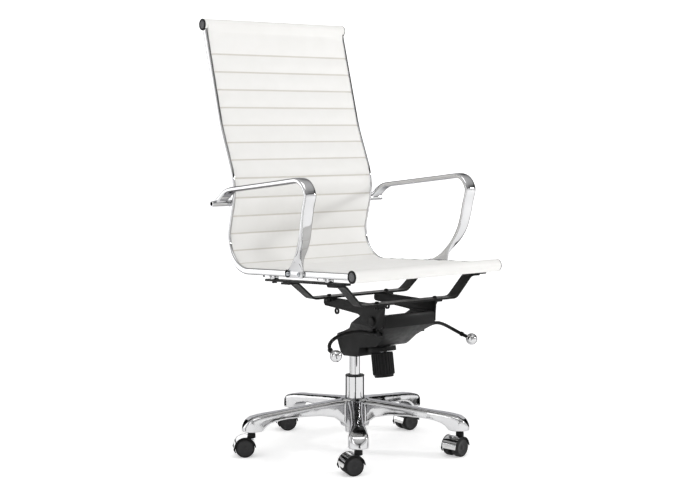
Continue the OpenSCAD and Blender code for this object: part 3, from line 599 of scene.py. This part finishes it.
for word, over in (("lock", as_is), ("height", other_side)):
    body = f"{word}_control"
    rod = placed(joined(round_rod(rod_line, rod_r), lever_pin, collar), over)
    fit(piece_of(f"{word}_lever_rod", *rod, powder_coat), body, "black_steel", f"{word}_lever")
    lever_ball = piece_of(f"{word}_lever_ball", *placed(ball, over), chrome_plate)
    fit(lever_ball, body, "chrome_steel", f"{word}_ball")


# ---- Seat plates, straps and bars ----
# The seat hangs in a steel frame: two flanged plates on the pivot shaft, two
# cranked straps bolted to them, and a flat bar under each rail. Black-coated.
strap_t, strap_flat, strap_bend, strap_edge = 5.0, 306.0, 22.0, 0.7
bar_wide, seat_fall = 25.0, math.tan(math.radians(3))


def cranked(low, high):
    """Rings of a flat strap, level in the middle and bent up to both bars."""
    mid_y, wide = (low.y + high.y) / 2, high.y - low.y
    top, end_in = high.z - wide / 2 * seat_fall, high.x - bar_wide - 4
    slant = math.atan2(top - low.z - strap_t, end_in - strap_flat / 2)
    miter, reach = strap_t * math.tan(slant / 2) / 2, strap_bend * math.tan(slant / 2)
    half = []
    for x, z, first, last, twist in ((strap_flat / 2 + miter, low.z + strap_t / 2, 0.0, slant, 0.0),
                                     (end_in + miter, top - strap_t / 2, slant, 0.0, 1.0)):
        bend = strap_bend if last > first else -strap_bend
        c, s = math.cos(first), math.sin(first)
        x, z = x - reach * c - bend * s, z - reach * s + bend * c
        half += [(x + bend * math.sin(a), z - bend * math.cos(a), a, twist)
                 for a in np.linspace(first, last, 9)]
    half.append((high.x, top - strap_t / 2, 0.0, 1.0))
    course = [(-x, z, -a, twist) for x, z, a, twist in half[::-1]] + half
    corners = ((1, 1, (0, strap_edge)), (-1, 1, (strap_edge, 0)), (-1, -1, (0, strap_edge)),
               (1, -1, (strap_edge, 0)))
    section = [(along * (wide / 2 - inset), up * (strap_t / 2 - strap_edge + inset))
               for along, up, insets in corners for inset in insets]
    return [[(x - n * math.sin(a), mid_y + s, z + n * math.cos(a) - s * seat_fall * twist)
             for s, n in section] for x, z, a, twist in course]


for word in ("left", "right"):
    rebuilt(f"plate_{word}", f"seat_plate_{word}_pressed", powder_coat, "seat", "black_steel", 0.8)
    rebuilt(f"side_bar_{word}", f"side_bar_{word}_coated", powder_coat, "seat", "black_steel", 0.8)
for word in ("front", "rear"):
    node = f"{word}_strap"
    strap = loft(cranked(*[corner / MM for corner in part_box(node)]))
    fit(piece_of(f"{node}_cranked", *strap, powder_coat, 30), "seat", "black_steel", node)
rebuilt("rail_tabs", "rail_tabs_welded", chrome_plate, "seat", "chrome_steel", 0.5)
rebuilt("seat_bolts", "seat_bolts_blacked", powder_coat, "seat", "black_steel", 0.5)


# ---- Side rails ----
# Two flat oval steel rails, 17 by 8 mm, bent to the sitter's shape and chromed.
# They carry the sling's tubes at both ends, and the arms' feet on their outside.
rail_corners = [(-293.0, 497.5), (284.0, 497.5 - 577 * seat_fall), (220.5, 695.0), (288.5, 852.0),
                (367.5, 1127.0)]
rail_bends = [0.0, 90.0, 155.0, 400.0, 0.0]
rail_span, rail_wide, rail_thick = 462.0, 17.0, 8.0


def rail_course():
    """The rail's line from front to top: lengths, points and the sitter's side."""
    corners = [np.array(c) for c in rail_corners]
    points = [corners[0]]
    for i in range(1, len(corners) - 1):
        u = (corners[i] - corners[i - 1]) / np.linalg.norm(corners[i] - corners[i - 1])
        v = (corners[i + 1] - corners[i]) / np.linalg.norm(corners[i + 1] - corners[i])
        turn = math.atan2(u[0] * v[1] - u[1] * v[0], u @ v)
        reach = rail_bends[i] * math.tan(abs(turn) / 2)
        start = corners[i] - u * reach
        centre = start + np.array([-u[1], u[0]]) * rail_bends[i] * math.copysign(1, turn)
        arm = start - centre
        for a in np.linspace(0, turn, 48):
            points.append(centre + np.array([arm[0] * math.cos(a) - arm[1] * math.sin(a),
                                             arm[0] * math.sin(a) + arm[1] * math.cos(a)]))
    points = np.array(points + [corners[-1]])
    lengths = np.concatenate([[0], np.cumsum(np.linalg.norm(np.diff(points, axis=0), axis=1))])
    fine = np.linspace(0, lengths[-1], 2400)
    line = np.stack([np.interp(fine, lengths, points[:, k]) for k in (0, 1)], axis=1)
    way = np.gradient(line, axis=0)
    way /= np.linalg.norm(way, axis=1)[:, None]
    return fine, line, np.stack([-way[:, 1], way[:, 0]], axis=1)


course_s, course_line, course_side = rail_course()
course_length = float(course_s[-1])


def beside_rail(s, off):
    """The (y, z) point at a length along the rail, off to the sitter's side."""
    y, z = (np.interp(s, course_s, course_line[:, k]) for k in (0, 1))
    ny, nz = (np.interp(s, course_s, course_side[:, k]) for k in (0, 1))
    return y + ny * off, z + nz * off


rail_section = []
for end in (1, -1):
    for a in np.linspace(-math.pi / 2, math.pi / 2, 11):
        rail_section.append((end * ((rail_wide - rail_thick) / 2 + rail_thick / 2 * math.cos(a)),
                             end * rail_thick / 2 * math.sin(a)))
rail_stops = np.linspace(0, course_length, 260)
for word, side in (("left", 1), ("right", -1)):
    rings = [[(side * (rail_span / 2) + x, *beside_rail(s, off)) for off, x in rail_section]
             for s in rail_stops]
    rail = piece_of(f"rail_{word}_chromed", *loft(rings), chrome_plate, 50)
    fit(rail, "seat", "chrome_steel", f"rail_{word}")


# ---- Sling tubes and caps ----
# A steel tube joins the rails at the front edge and at the top, inside the
# leather roll. A dark moulded cap with a black ring closes each end.
for node in ("front_tube", "top_tube"):
    coated(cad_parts[node], zinc_plate)
roll_r, tube_half = 16.0, 235.5
ring_profile = [(10.9, 0.4), (10.9, 2.2), (12.0, 2.95), (14.6, 2.8), (15.6, 2.0), (16.0, 0.9),
                (15.9, 0), (11.0, 0), (11.0, -14), (10.0, -14), (10.0, 0.4)]
disc_profile = [(0.05, 2.0), (3.0, 2.0), (3.6, 2.5), (9.6, 2.6), (10.7, 1.9), (10.7, 0.5), (0.05, 0.5)]
# The middle of a cap is a separate grey moulding with a satin face.
cap_grey = finish_of(
    "moulded_abs_grey",
    lambda tree: {"Base Color": paint("#4e4e50"), "IOR": 1.54,
                  "Roughness": between(tree, cloudy(tree, 3), 0.36, 0.48)},
    lambda tree: cloudy(tree, 1.2), (0.15, 0.1))
cap_rings, cap_discs = [], []
for side in (1, -1):
    for y, z in (rail_corners[0], rail_corners[-1]):
        stand = (Matrix.Translation((side * tube_half, y, z))
                 @ Matrix.Rotation(math.radians(90 * side), 4, "Y"))
        cap_rings.append(placed(turned(ring_profile, 48), stand))
        cap_discs.append(placed(turned(disc_profile, 48), stand))
fit(piece_of("end_caps_rings", *joined(*cap_rings), black_nylon), "seat", "cap_plastic", "end_caps")
fit(piece_of("end_caps_discs", *joined(*cap_discs), cap_grey), "seat", "cap_plastic", "end_caps")


# ---- Sling ----
# One padded sling of white coated leather, stitched through every 50 mm into
# soft cross ribs. It wraps round both tubes, and its sides lie against the rails.
# Coated leather: a warm white, satin, with a pebble grain. The real grain is
# about 0.6 mm and is drawn at 1.6 mm so that it shows. Along each seam the
# colour is painted greyer, as painted shade in the bottom of the crease.
seam_pitch, first_seam, front_panel = 50.0, 85.0, 58.0
sling_half, roll_rows = 226.8, 16
seam_places = np.arange(course_length - first_seam, front_panel, -seam_pitch)[::-1]


def leather_look(tree):
    """Warm white, a little cloudy, with painted shade along the creases."""
    place = add_node(tree, "ShaderNodeTexCoord").outputs["Object"]
    seam = add_node(tree, "ShaderNodeAttribute", attribute_name="seam_mm").outputs["Fac"]
    crease_shade_share = add_node(tree, "ShaderNodeMapRange", {"Value": seam, "From Min": 0.0, "From Max": 3.4,
                         "To Min": 1.0, "To Max": 0.0}, interpolation_type="SMOOTHSTEP").outputs[0]
    tone = add_node(tree, "ShaderNodeMix", {0: cloudy(tree, 45, 3.0, place), 6: paint("#e9e8e5"),
                                            7: paint("#efeeec")}, data_type="RGBA")
    # Painted shade: within 3.4 mm of a seam the colour is mixed towards grey #cbc6be.
    crease_shaded = add_node(tree, "ShaderNodeMix", {0: crease_shade_share, 6: tone.outputs[2], 7: paint("#cbc6be")},
                       data_type="RGBA")
    return {"Base Color": crease_shaded.outputs[2],
            "Roughness": between(tree, cloudy(tree, 8, 2.0, place), 0.42, 0.56),
            "IOR": 1.47, "Sheen Weight": 0.04, "Sheen Roughness": 0.5}


def leather_grain(tree):
    """Pebbles on slow wrinkles, as a height."""
    place = add_node(tree, "ShaderNodeTexCoord").outputs["Object"]
    pebbles = add_node(tree, "ShaderNodeTexVoronoi", {"Vector": place, "Scale": 1 / (1.6 * MM)},
                       feature="SMOOTH_F1")
    return add_node(tree, "ShaderNodeMath", {0: pebbles.outputs["Distance"],
                    1: cloudy(tree, 11, 4.0, place)}, operation="ADD").outputs[0]


white_leather = finish_of("coated_leather_white", leather_look, leather_grain, (0.16, 0.5))


def steps_between(low, high, near=(0.7, 1.7, 3.2, 5.4, 8.5, 12.5, 17.0, 21.5)):
    """Places from one seam to the next, crowded towards both."""
    middle = (low + high) / 2
    steps = [low] + [low + d for d in near if low + d < middle - 1.5] + [middle]
    if high - low > 60:
        steps += list(np.linspace(low + 25, high - 25, max(2, int((high - low - 50) / 7) + 1)))
    steps += [high - d for d in near if high - d > middle + 1.5]
    return sorted(set(np.round(steps, 3)))


front_stops = []
panel_edges = [0.0] + list(seam_places) + [course_length]
for low, high in zip(panel_edges[:-1], panel_edges[1:]):
    front_stops += steps_between(low, high)
front_stops = np.array(sorted(set(front_stops)))


def ease(t):
    """0 to 1 with a soft start and end."""
    t = np.clip(t, 0.0, 1.0)
    return t * t * (3 - 2 * t)


def seam_gap(s):
    """How far a length along the rail is from the nearest seam."""
    return float(np.min(np.abs(seam_places - s)))


def near_tube(s, reach):
    """1 at either tube, falling to 0 at a reach along the rail."""
    return float(ease(1 - min(s, course_length - s) / reach))


def front_height(s, x):
    """How far the leather's face stands off the rail's line."""
    rib = 1 - max(0.0, 1 - seam_gap(s) / 24) ** 2.6
    edge = float(ease((sling_half - abs(x)) / 12))
    height = 5.6 + 3.4 * rib * (0.45 + 0.55 * edge) + 0.6 * edge
    return height + (roll_r - 0.2 - height) * near_tube(s, 34)


def back_height(s):
    """How far the leather's back stands behind the rail's line, below zero."""
    return -5.0 + 1.3 * max(0.0, 1 - seam_gap(s) / 9) ** 2 - 10.8 * near_tube(s, 26)


def roll_frame(top):
    """A roll's centre, its way off the rail's line and its way outwards."""
    off = course_side[-1] if top else course_side[0]
    out = np.array([off[1], -off[0]]) * (1 if top else -1)
    return rail_corners[-1] if top else rail_corners[0], off, out


edge_columns = [sling_half, 226.3, 224.5, 221.0]
columns = np.concatenate([[-x for x in edge_columns], np.linspace(-216, 216, 79), edge_columns[::-1]])
round_top = np.linspace(math.pi / 2, -math.pi / 2, roll_rows + 2)[1:-1]
back_stops = front_stops[::2][::-1]
fronts_in_all, backs_in_all = len(front_stops), len(back_stops)
row_kind = (["front"] * fronts_in_all + ["roll"] * roll_rows + ["back"] * backs_in_all
            + ["roll"] * roll_rows)
row_s = np.concatenate([front_stops, np.full(roll_rows, course_length), back_stops,
                        np.full(roll_rows, 0.0)])
rows, wide = len(row_kind), len(columns)
tuck = np.random.default_rng(7)
tuck_waves = [(tuck.uniform(11, 26), tuck.uniform(0, 6.28), tuck.uniform(0.5, 1.0)) for _ in range(6)]
sling_points = []
for k, (kind, s) in enumerate(zip(row_kind, row_s)):
    for x in columns:
        if kind == "front":
            gap = seam_gap(s)
            pucker = sum(w * math.sin(x * 6.283 / wave + lag + s * 0.05) for wave, lag, w in tuck_waves)
            lift = 0.11 * pucker * math.exp(-((gap - 4.5) / 3.5) ** 2) * (1 - near_tube(s, 34))
            y, z = beside_rail(s, front_height(s, x) + lift)
        elif kind == "back":
            y, z = beside_rail(s, back_height(s))
        else:
            top = k < rows - roll_rows
            a = round_top[k - fronts_in_all] if top else -round_top[k - (rows - roll_rows)]
            (y0, z0), off, out = roll_frame(top)
            side_share = math.sin(a) if top else -math.sin(a)
            y = y0 + (roll_r - 0.2) * (off[0] * side_share + out[0] * math.cos(a))
            z = z0 + (roll_r - 0.2) * (off[1] * side_share + out[1] * math.cos(a))
        sling_points.append((x, y, z))
sling_faces = []
for i in range(rows):
    for j in range(wide - 1):
        a, b = i * wide + j, (i + 1) % rows * wide + j
        sling_faces.append((a, a + 1, b + 1, b))
for j in (0, wide - 1):
    fronts = [i * wide + j for i in range(fronts_in_all)]
    backs = [(fronts_in_all + roll_rows + i) * wide + j for i in range(backs_in_all)][::-1]
    for m in range(backs_in_all - 1):
        first, last = 2 * m, min(2 * m + 2, fronts_in_all - 1)
        between_them = [fronts[last]] if last > first + 1 else []
        sling_faces.append((fronts[first], fronts[first + 1], *between_them, backs[m + 1], backs[m]))
    last = 2 * (backs_in_all - 1)
    if last < fronts_in_all - 1:
        sling_faces.append((fronts[last], fronts[last + 1], backs[-1]))
    top_roll = [(fronts_in_all + i) * wide + j for i in range(roll_rows)]
    low_roll = [(rows - roll_rows + i) * wide + j for i in range(roll_rows)]
    sling_faces.append((fronts[-1], *top_roll, backs[-1]))
    sling_faces.append((backs[0], *low_roll, fronts[0]))
sling = piece_of("sling_leather", sling_points, sling_faces, white_leather, 60)


def swell(piece, held, pressure, most_mm, frames=20):
    """Fills a padded piece like a cushion: cloth under pressure, then kept."""
    group = piece.vertex_groups.new(name="held")
    for index, weight in enumerate(held):
        group.add([index], float(weight), "REPLACE")
    cloth = piece.modifiers.new("filling", "CLOTH")
    cloth.settings.quality = 4
    cloth.settings.mass = 0.3
    cloth.settings.tension_stiffness = cloth.settings.compression_stiffness = 18
    cloth.settings.shear_stiffness = 6
    cloth.settings.bending_stiffness = 0.6
    cloth.settings.vertex_group_mass = "held"
    cloth.settings.pin_stiffness = 1.0
    cloth.settings.use_pressure = True
    cloth.settings.uniform_pressure_force = pressure
    cloth.settings.effector_weights.gravity = 0
    cloth.collision_settings.use_collision = False
    cloth.point_cache.frame_start, cloth.point_cache.frame_end = 1, frames
    before = np.array([v.co for v in piece.data.vertices])
    for number in range(1, frames + 1):
        bpy.context.scene.frame_set(number)
    shaped = piece.evaluated_get(bpy.context.evaluated_depsgraph_get()).data
    moved = np.array([v.co for v in shaped.vertices]) - before
    far = np.linalg.norm(moved, axis=1, keepdims=True)
    moved *= np.minimum(1.0, most_mm * MM / np.maximum(far, 1e-9))
    piece.modifiers.clear()
    piece.vertex_groups.clear()
    bpy.context.scene.frame_set(1)
    piece.data.vertices.foreach_set("co", (before + moved).astype(np.float32).ravel())
    piece.data.update()


seam_of_point = np.zeros(len(sling.data.vertices), np.float32)
held = np.ones(len(sling.data.vertices))
for i in range(rows):
    for j in range(wide):
        n = i * wide + j
        gap = seam_gap(row_s[i]) if row_kind[i] != "roll" else 40.0
        seam_of_point[n] = gap
        if (row_kind[i] == "front" and gap > 0.9 and 30 < row_s[i] < course_length - 30
                and abs(columns[j]) < 222):
            held[n] = 0.0
swell(sling, held, 4.0, 2.6)
distance = sling.data.attributes.new("seam_mm", "FLOAT", "POINT")
distance.data.foreach_set("value", seam_of_point)
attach(sling, "seat")
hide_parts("sling")


# ---- Roll ends ----
# Outside the rails the leather goes on round the tube as a short sleeve, slit
# where the rail comes in, up to the cap.
sleeves = []
sleeve_section = [(12.6, 226.9), (15.8, 226.9), (15.8, 235.0), (15.4, 235.4), (12.6, 235.4)]
for side in (1, -1):
    for top in (True, False):
        (y0, z0), off, out = roll_frame(top)
        slit = math.asin(9.0 / 16.0)
        rings = []
        for a in np.linspace(slit - math.pi, math.pi - slit, 44):
            c, s = math.cos(a), math.sin(a)
            rings.append([(side * x, y0 + radius * (out[0] * c + off[0] * s),
                           z0 + radius * (out[1] * c + off[1] * s)) for radius, x in sleeve_section])
        sleeves.append(loft(rings))
sleeve = piece_of("sling_roll_ends", *joined(*sleeves), white_leather, 40)
far_off = sleeve.data.attributes.new("seam_mm", "FLOAT", "POINT")
far_off.data.foreach_set("value", np.full(len(sleeve.data.vertices), 40.0, np.float32))
fit(sleeve, "seat", "white_leather", "sling")


# ---- Stitches ----
# Bonded polyester thread, locked 4 mm to the stitch, runs along the bottom of
# every crease. Each stitch is a short straight round of thread.
# Thread: off-white, with the dull sheen of twisted fibres.
polyester_thread = finish_of(
    "bonded_polyester_thread",
    lambda tree: {"Base Color": paint("#dcd8d0"), "Roughness": between(tree, cloudy(tree, 2), 0.6, 0.8)},
    lambda tree: cloudy(tree, 0.5), (0.3, 0.1))


def stitch_tree(name, material):
    """Stitches along the piece's edges, by pitch, length and thread size."""
    tree = bpy.data.node_groups.new(name, "GeometryNodeTree")
    tree.interface.new_socket("Seam Lines", in_out="INPUT", socket_type="NodeSocketGeometry")
    for label in ("Stitch Pitch", "Stitch Length", "Thread Radius"):
        tree.interface.new_socket(label, in_out="INPUT", socket_type="NodeSocketFloat")
    tree.interface.new_socket("Geometry", in_out="OUTPUT", socket_type="NodeSocketGeometry")
    given = add_node(tree, "NodeGroupInput").outputs
    lines = add_node(tree, "GeometryNodeMeshToCurve", {"Mesh": given["Seam Lines"]})
    stops = add_node(tree, "GeometryNodeResampleCurve", {
        "Curve": lines.outputs[0], "Length": given["Stitch Pitch"]}, mode="LENGTH")
    along = add_node(tree, "GeometryNodeInputTangent")
    turn = add_node(tree, "FunctionNodeAlignRotationToVector", {"Vector": along.outputs[0]}, axis="Z")
    thread = add_node(tree, "GeometryNodeMeshCone", {
        "Vertices": 6, "Side Segments": 1, "Radius Top": given["Thread Radius"],
        "Radius Bottom": given["Thread Radius"], "Depth": given["Stitch Length"]})
    laid = add_node(tree, "GeometryNodeInstanceOnPoints", {
        "Points": stops.outputs[0], "Instance": thread.outputs[0], "Rotation": turn.outputs[0]})
    real = add_node(tree, "GeometryNodeRealizeInstances", {"Geometry": laid.outputs[0]})
    dyed = add_node(tree, "GeometryNodeSetMaterial", {"Geometry": real.outputs[0],
                                                      "Material": material})
    add_node(tree, "NodeGroupOutput", {"Geometry": dyed.outputs[0]})
    return tree


seam_points, seam_edges = [], []
for s in seam_places:
    for face_height in (front_height(s, 0) + 0.25, back_height(s) - 0.25):
        for x in np.linspace(-221, 221, 12):
            y, z = beside_rail(s, face_height)
            seam_points.append((x * MM, y * MM, z * MM))
            if x > -221:
                seam_edges.append((len(seam_points) - 2, len(seam_points) - 1))
seam_mesh = bpy.data.meshes.new("sling_stitches")
seam_mesh.from_pydata(seam_points, seam_edges, [])
stitches = grown(shown("sling_stitches", seam_mesh), stitch_tree("sling_stitching", polyester_thread),
                 stitch_pitch=4.0 * MM, stitch_length=3.1 * MM, thread_radius=0.5 * MM)
fit(stitches, "seat", "white_leather")


# ---- Arms ----
# Each arm is one bent steel tube of flattened section, chromed. Its tail meets
# the cross tube behind the back, and its foot is forged flat and screwed to the rail.
arm_x, slope = 262.0, math.radians(6.5)


def arm_top(y):
    """The height of the arm's straight top over a place."""
    return 722.0 - (y + 112.0) * math.tan(slope)


tube_wide, tube_thick, tail_bend, elbow_bend = 34, 13, 90, 44
tail_y, elbow_y = 176, -112
arm_stations = [(arm_x, 247.0, 653.0, tube_wide, tube_thick, 45)]
for a in np.linspace(42, 6, 7):
    r = math.radians(a)
    arm_stations.append((arm_x, tail_y + tail_bend * (math.sin(r) - math.sin(slope)),
                         arm_top(tail_y) - tail_bend * (math.cos(slope) - math.cos(r)),
                         tube_wide, tube_thick, a))
for share in (0.25, 0.5, 0.75, 1.0):
    y = tail_y + (elbow_y - tail_y) * share
    arm_stations.append((arm_x, y, arm_top(y), tube_wide, tube_thick, 6.5))
for k in range(1, 10):
    a = 6.5 - 86.5 * k / 9
    r = math.radians(a)
    arm_stations.append((arm_x, elbow_y + elbow_bend * (math.sin(r) - math.sin(slope)),
                         722 - elbow_bend * (math.cos(slope) - math.cos(r)), tube_wide, tube_thick, a))
arm_stations += [(arm_x, -150, 648, 34, 13, -77), (arm_x - 1, -142, 612, 33, 14, -74),
                 (arm_x - 4, -131, 578, 32, 17, -70), (arm_x - 9, -113, 548, 28, 25, -64),
                 (arm_x - 15, -89, 522, 21, 43, -62), (240.5, -70, 504, 11, 62, -75),
                 (237.5, -64, 492, 5, 70, -88)]


def between_stations(stations, per=6):
    """Stations on a smooth curve through the given ones."""
    values = np.array(stations, float)
    spans = np.linalg.norm(np.diff(values[:, :3], axis=0), axis=1)
    chord = np.concatenate([[0], np.cumsum(spans ** 0.5)])
    slopes = np.gradient(values, chord, axis=0)
    out = []
    for i in range(len(values) - 1):
        h = chord[i + 1] - chord[i]
        for t in np.linspace(0, 1, per, endpoint=False):
            a, b = 2 * t ** 3 - 3 * t ** 2 + 1, t ** 3 - 2 * t ** 2 + t
            c, d = -2 * t ** 3 + 3 * t ** 2, t ** 3 - t ** 2
            out.append(values[i] * a + slopes[i] * h * b + values[i + 1] * c + slopes[i + 1] * h * d)
    return out + [values[-1]]


def arm_ring(station):
    """A flattened oval section of the arm at a station."""
    x, y, z, across, thick, pitch = station
    lean, ring = math.radians(pitch), []
    for a in np.linspace(0, 2 * math.pi, 40, endpoint=False):
        c, s = math.cos(a), math.sin(a)
        u = math.copysign(abs(c) ** 0.55, c) * across / 2
        v = math.copysign(abs(s) ** 0.55, s) * thick / 2
        ring.append((x + u, y + v * math.sin(lean), z + v * math.cos(lean)))
    return ring


arm_tube = loft([arm_ring(st) for st in between_stations(arm_stations)])
foot_y, foot_half, foot_r = -60, 29.5, 10.4
foot_z = 497.5 - (293 + foot_y) * seat_fall
foot_lean = Matrix.Translation((0, foot_y, foot_z)) @ Matrix.Rotation(math.radians(-3), 4, "X")
foot_outline = []
for cy, start in ((foot_half, -90), (foot_half, 0), (-foot_half, 90), (-foot_half, 180)):
    for a in np.radians(np.linspace(start, start + 90, 7)):
        foot_outline.append((cy + foot_r * math.cos(a), 0.5 + foot_r * math.sin(a)))
foot_rings = [[(x, y * k, (z - 0.5) * k + 0.5) for y, z in foot_outline] for x, k in
              ((235.2, 1.0), (239.2, 1.0), (240.0, 0.965))]
arm_foot = placed(loft(foot_rings), foot_lean)
for word, over in (("left", as_is), ("right", other_side)):
    arm = piece_of(f"arm_{word}_chromed", *placed(joined(arm_tube, arm_foot), over), chrome_plate, 50)
    fit(arm, "seat", "chrome_steel", f"arm_{word}")


# ---- Cross tube and arm screws ----
# A chromed tube behind the back ties both arms and rails together. Two steel
# socket screws hold each arm's foot to its rail.
cross_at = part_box("cross_tube")
cross_half, cross_r = cross_at[1].x / MM, (cross_at[1].z - cross_at[0].z) / 2 / MM
cross_centre = (0, (cross_at[0].y + cross_at[1].y) / 2 / MM, (cross_at[0].z + cross_at[1].z) / 2 / MM)
half_profile = [(cross_r - 2, cross_half), (cross_r - 0.5, cross_half), (cross_r, cross_half - 0.5)]
cross_profile = [(r, -z) for r, z in half_profile] + half_profile[::-1]
cross_lay = Matrix.Translation(cross_centre) @ Matrix.Rotation(math.radians(90), 4, "Y")
cross = placed(turned(cross_profile, 48), cross_lay)
fit(piece_of("cross_tube_chromed", *cross, chrome_plate), "seat", "chrome_steel", "cross_tube")
rebuilt("arm_screws", "arm_screws_zinc", zinc_plate, "seat", "bright_steel", 0.3)
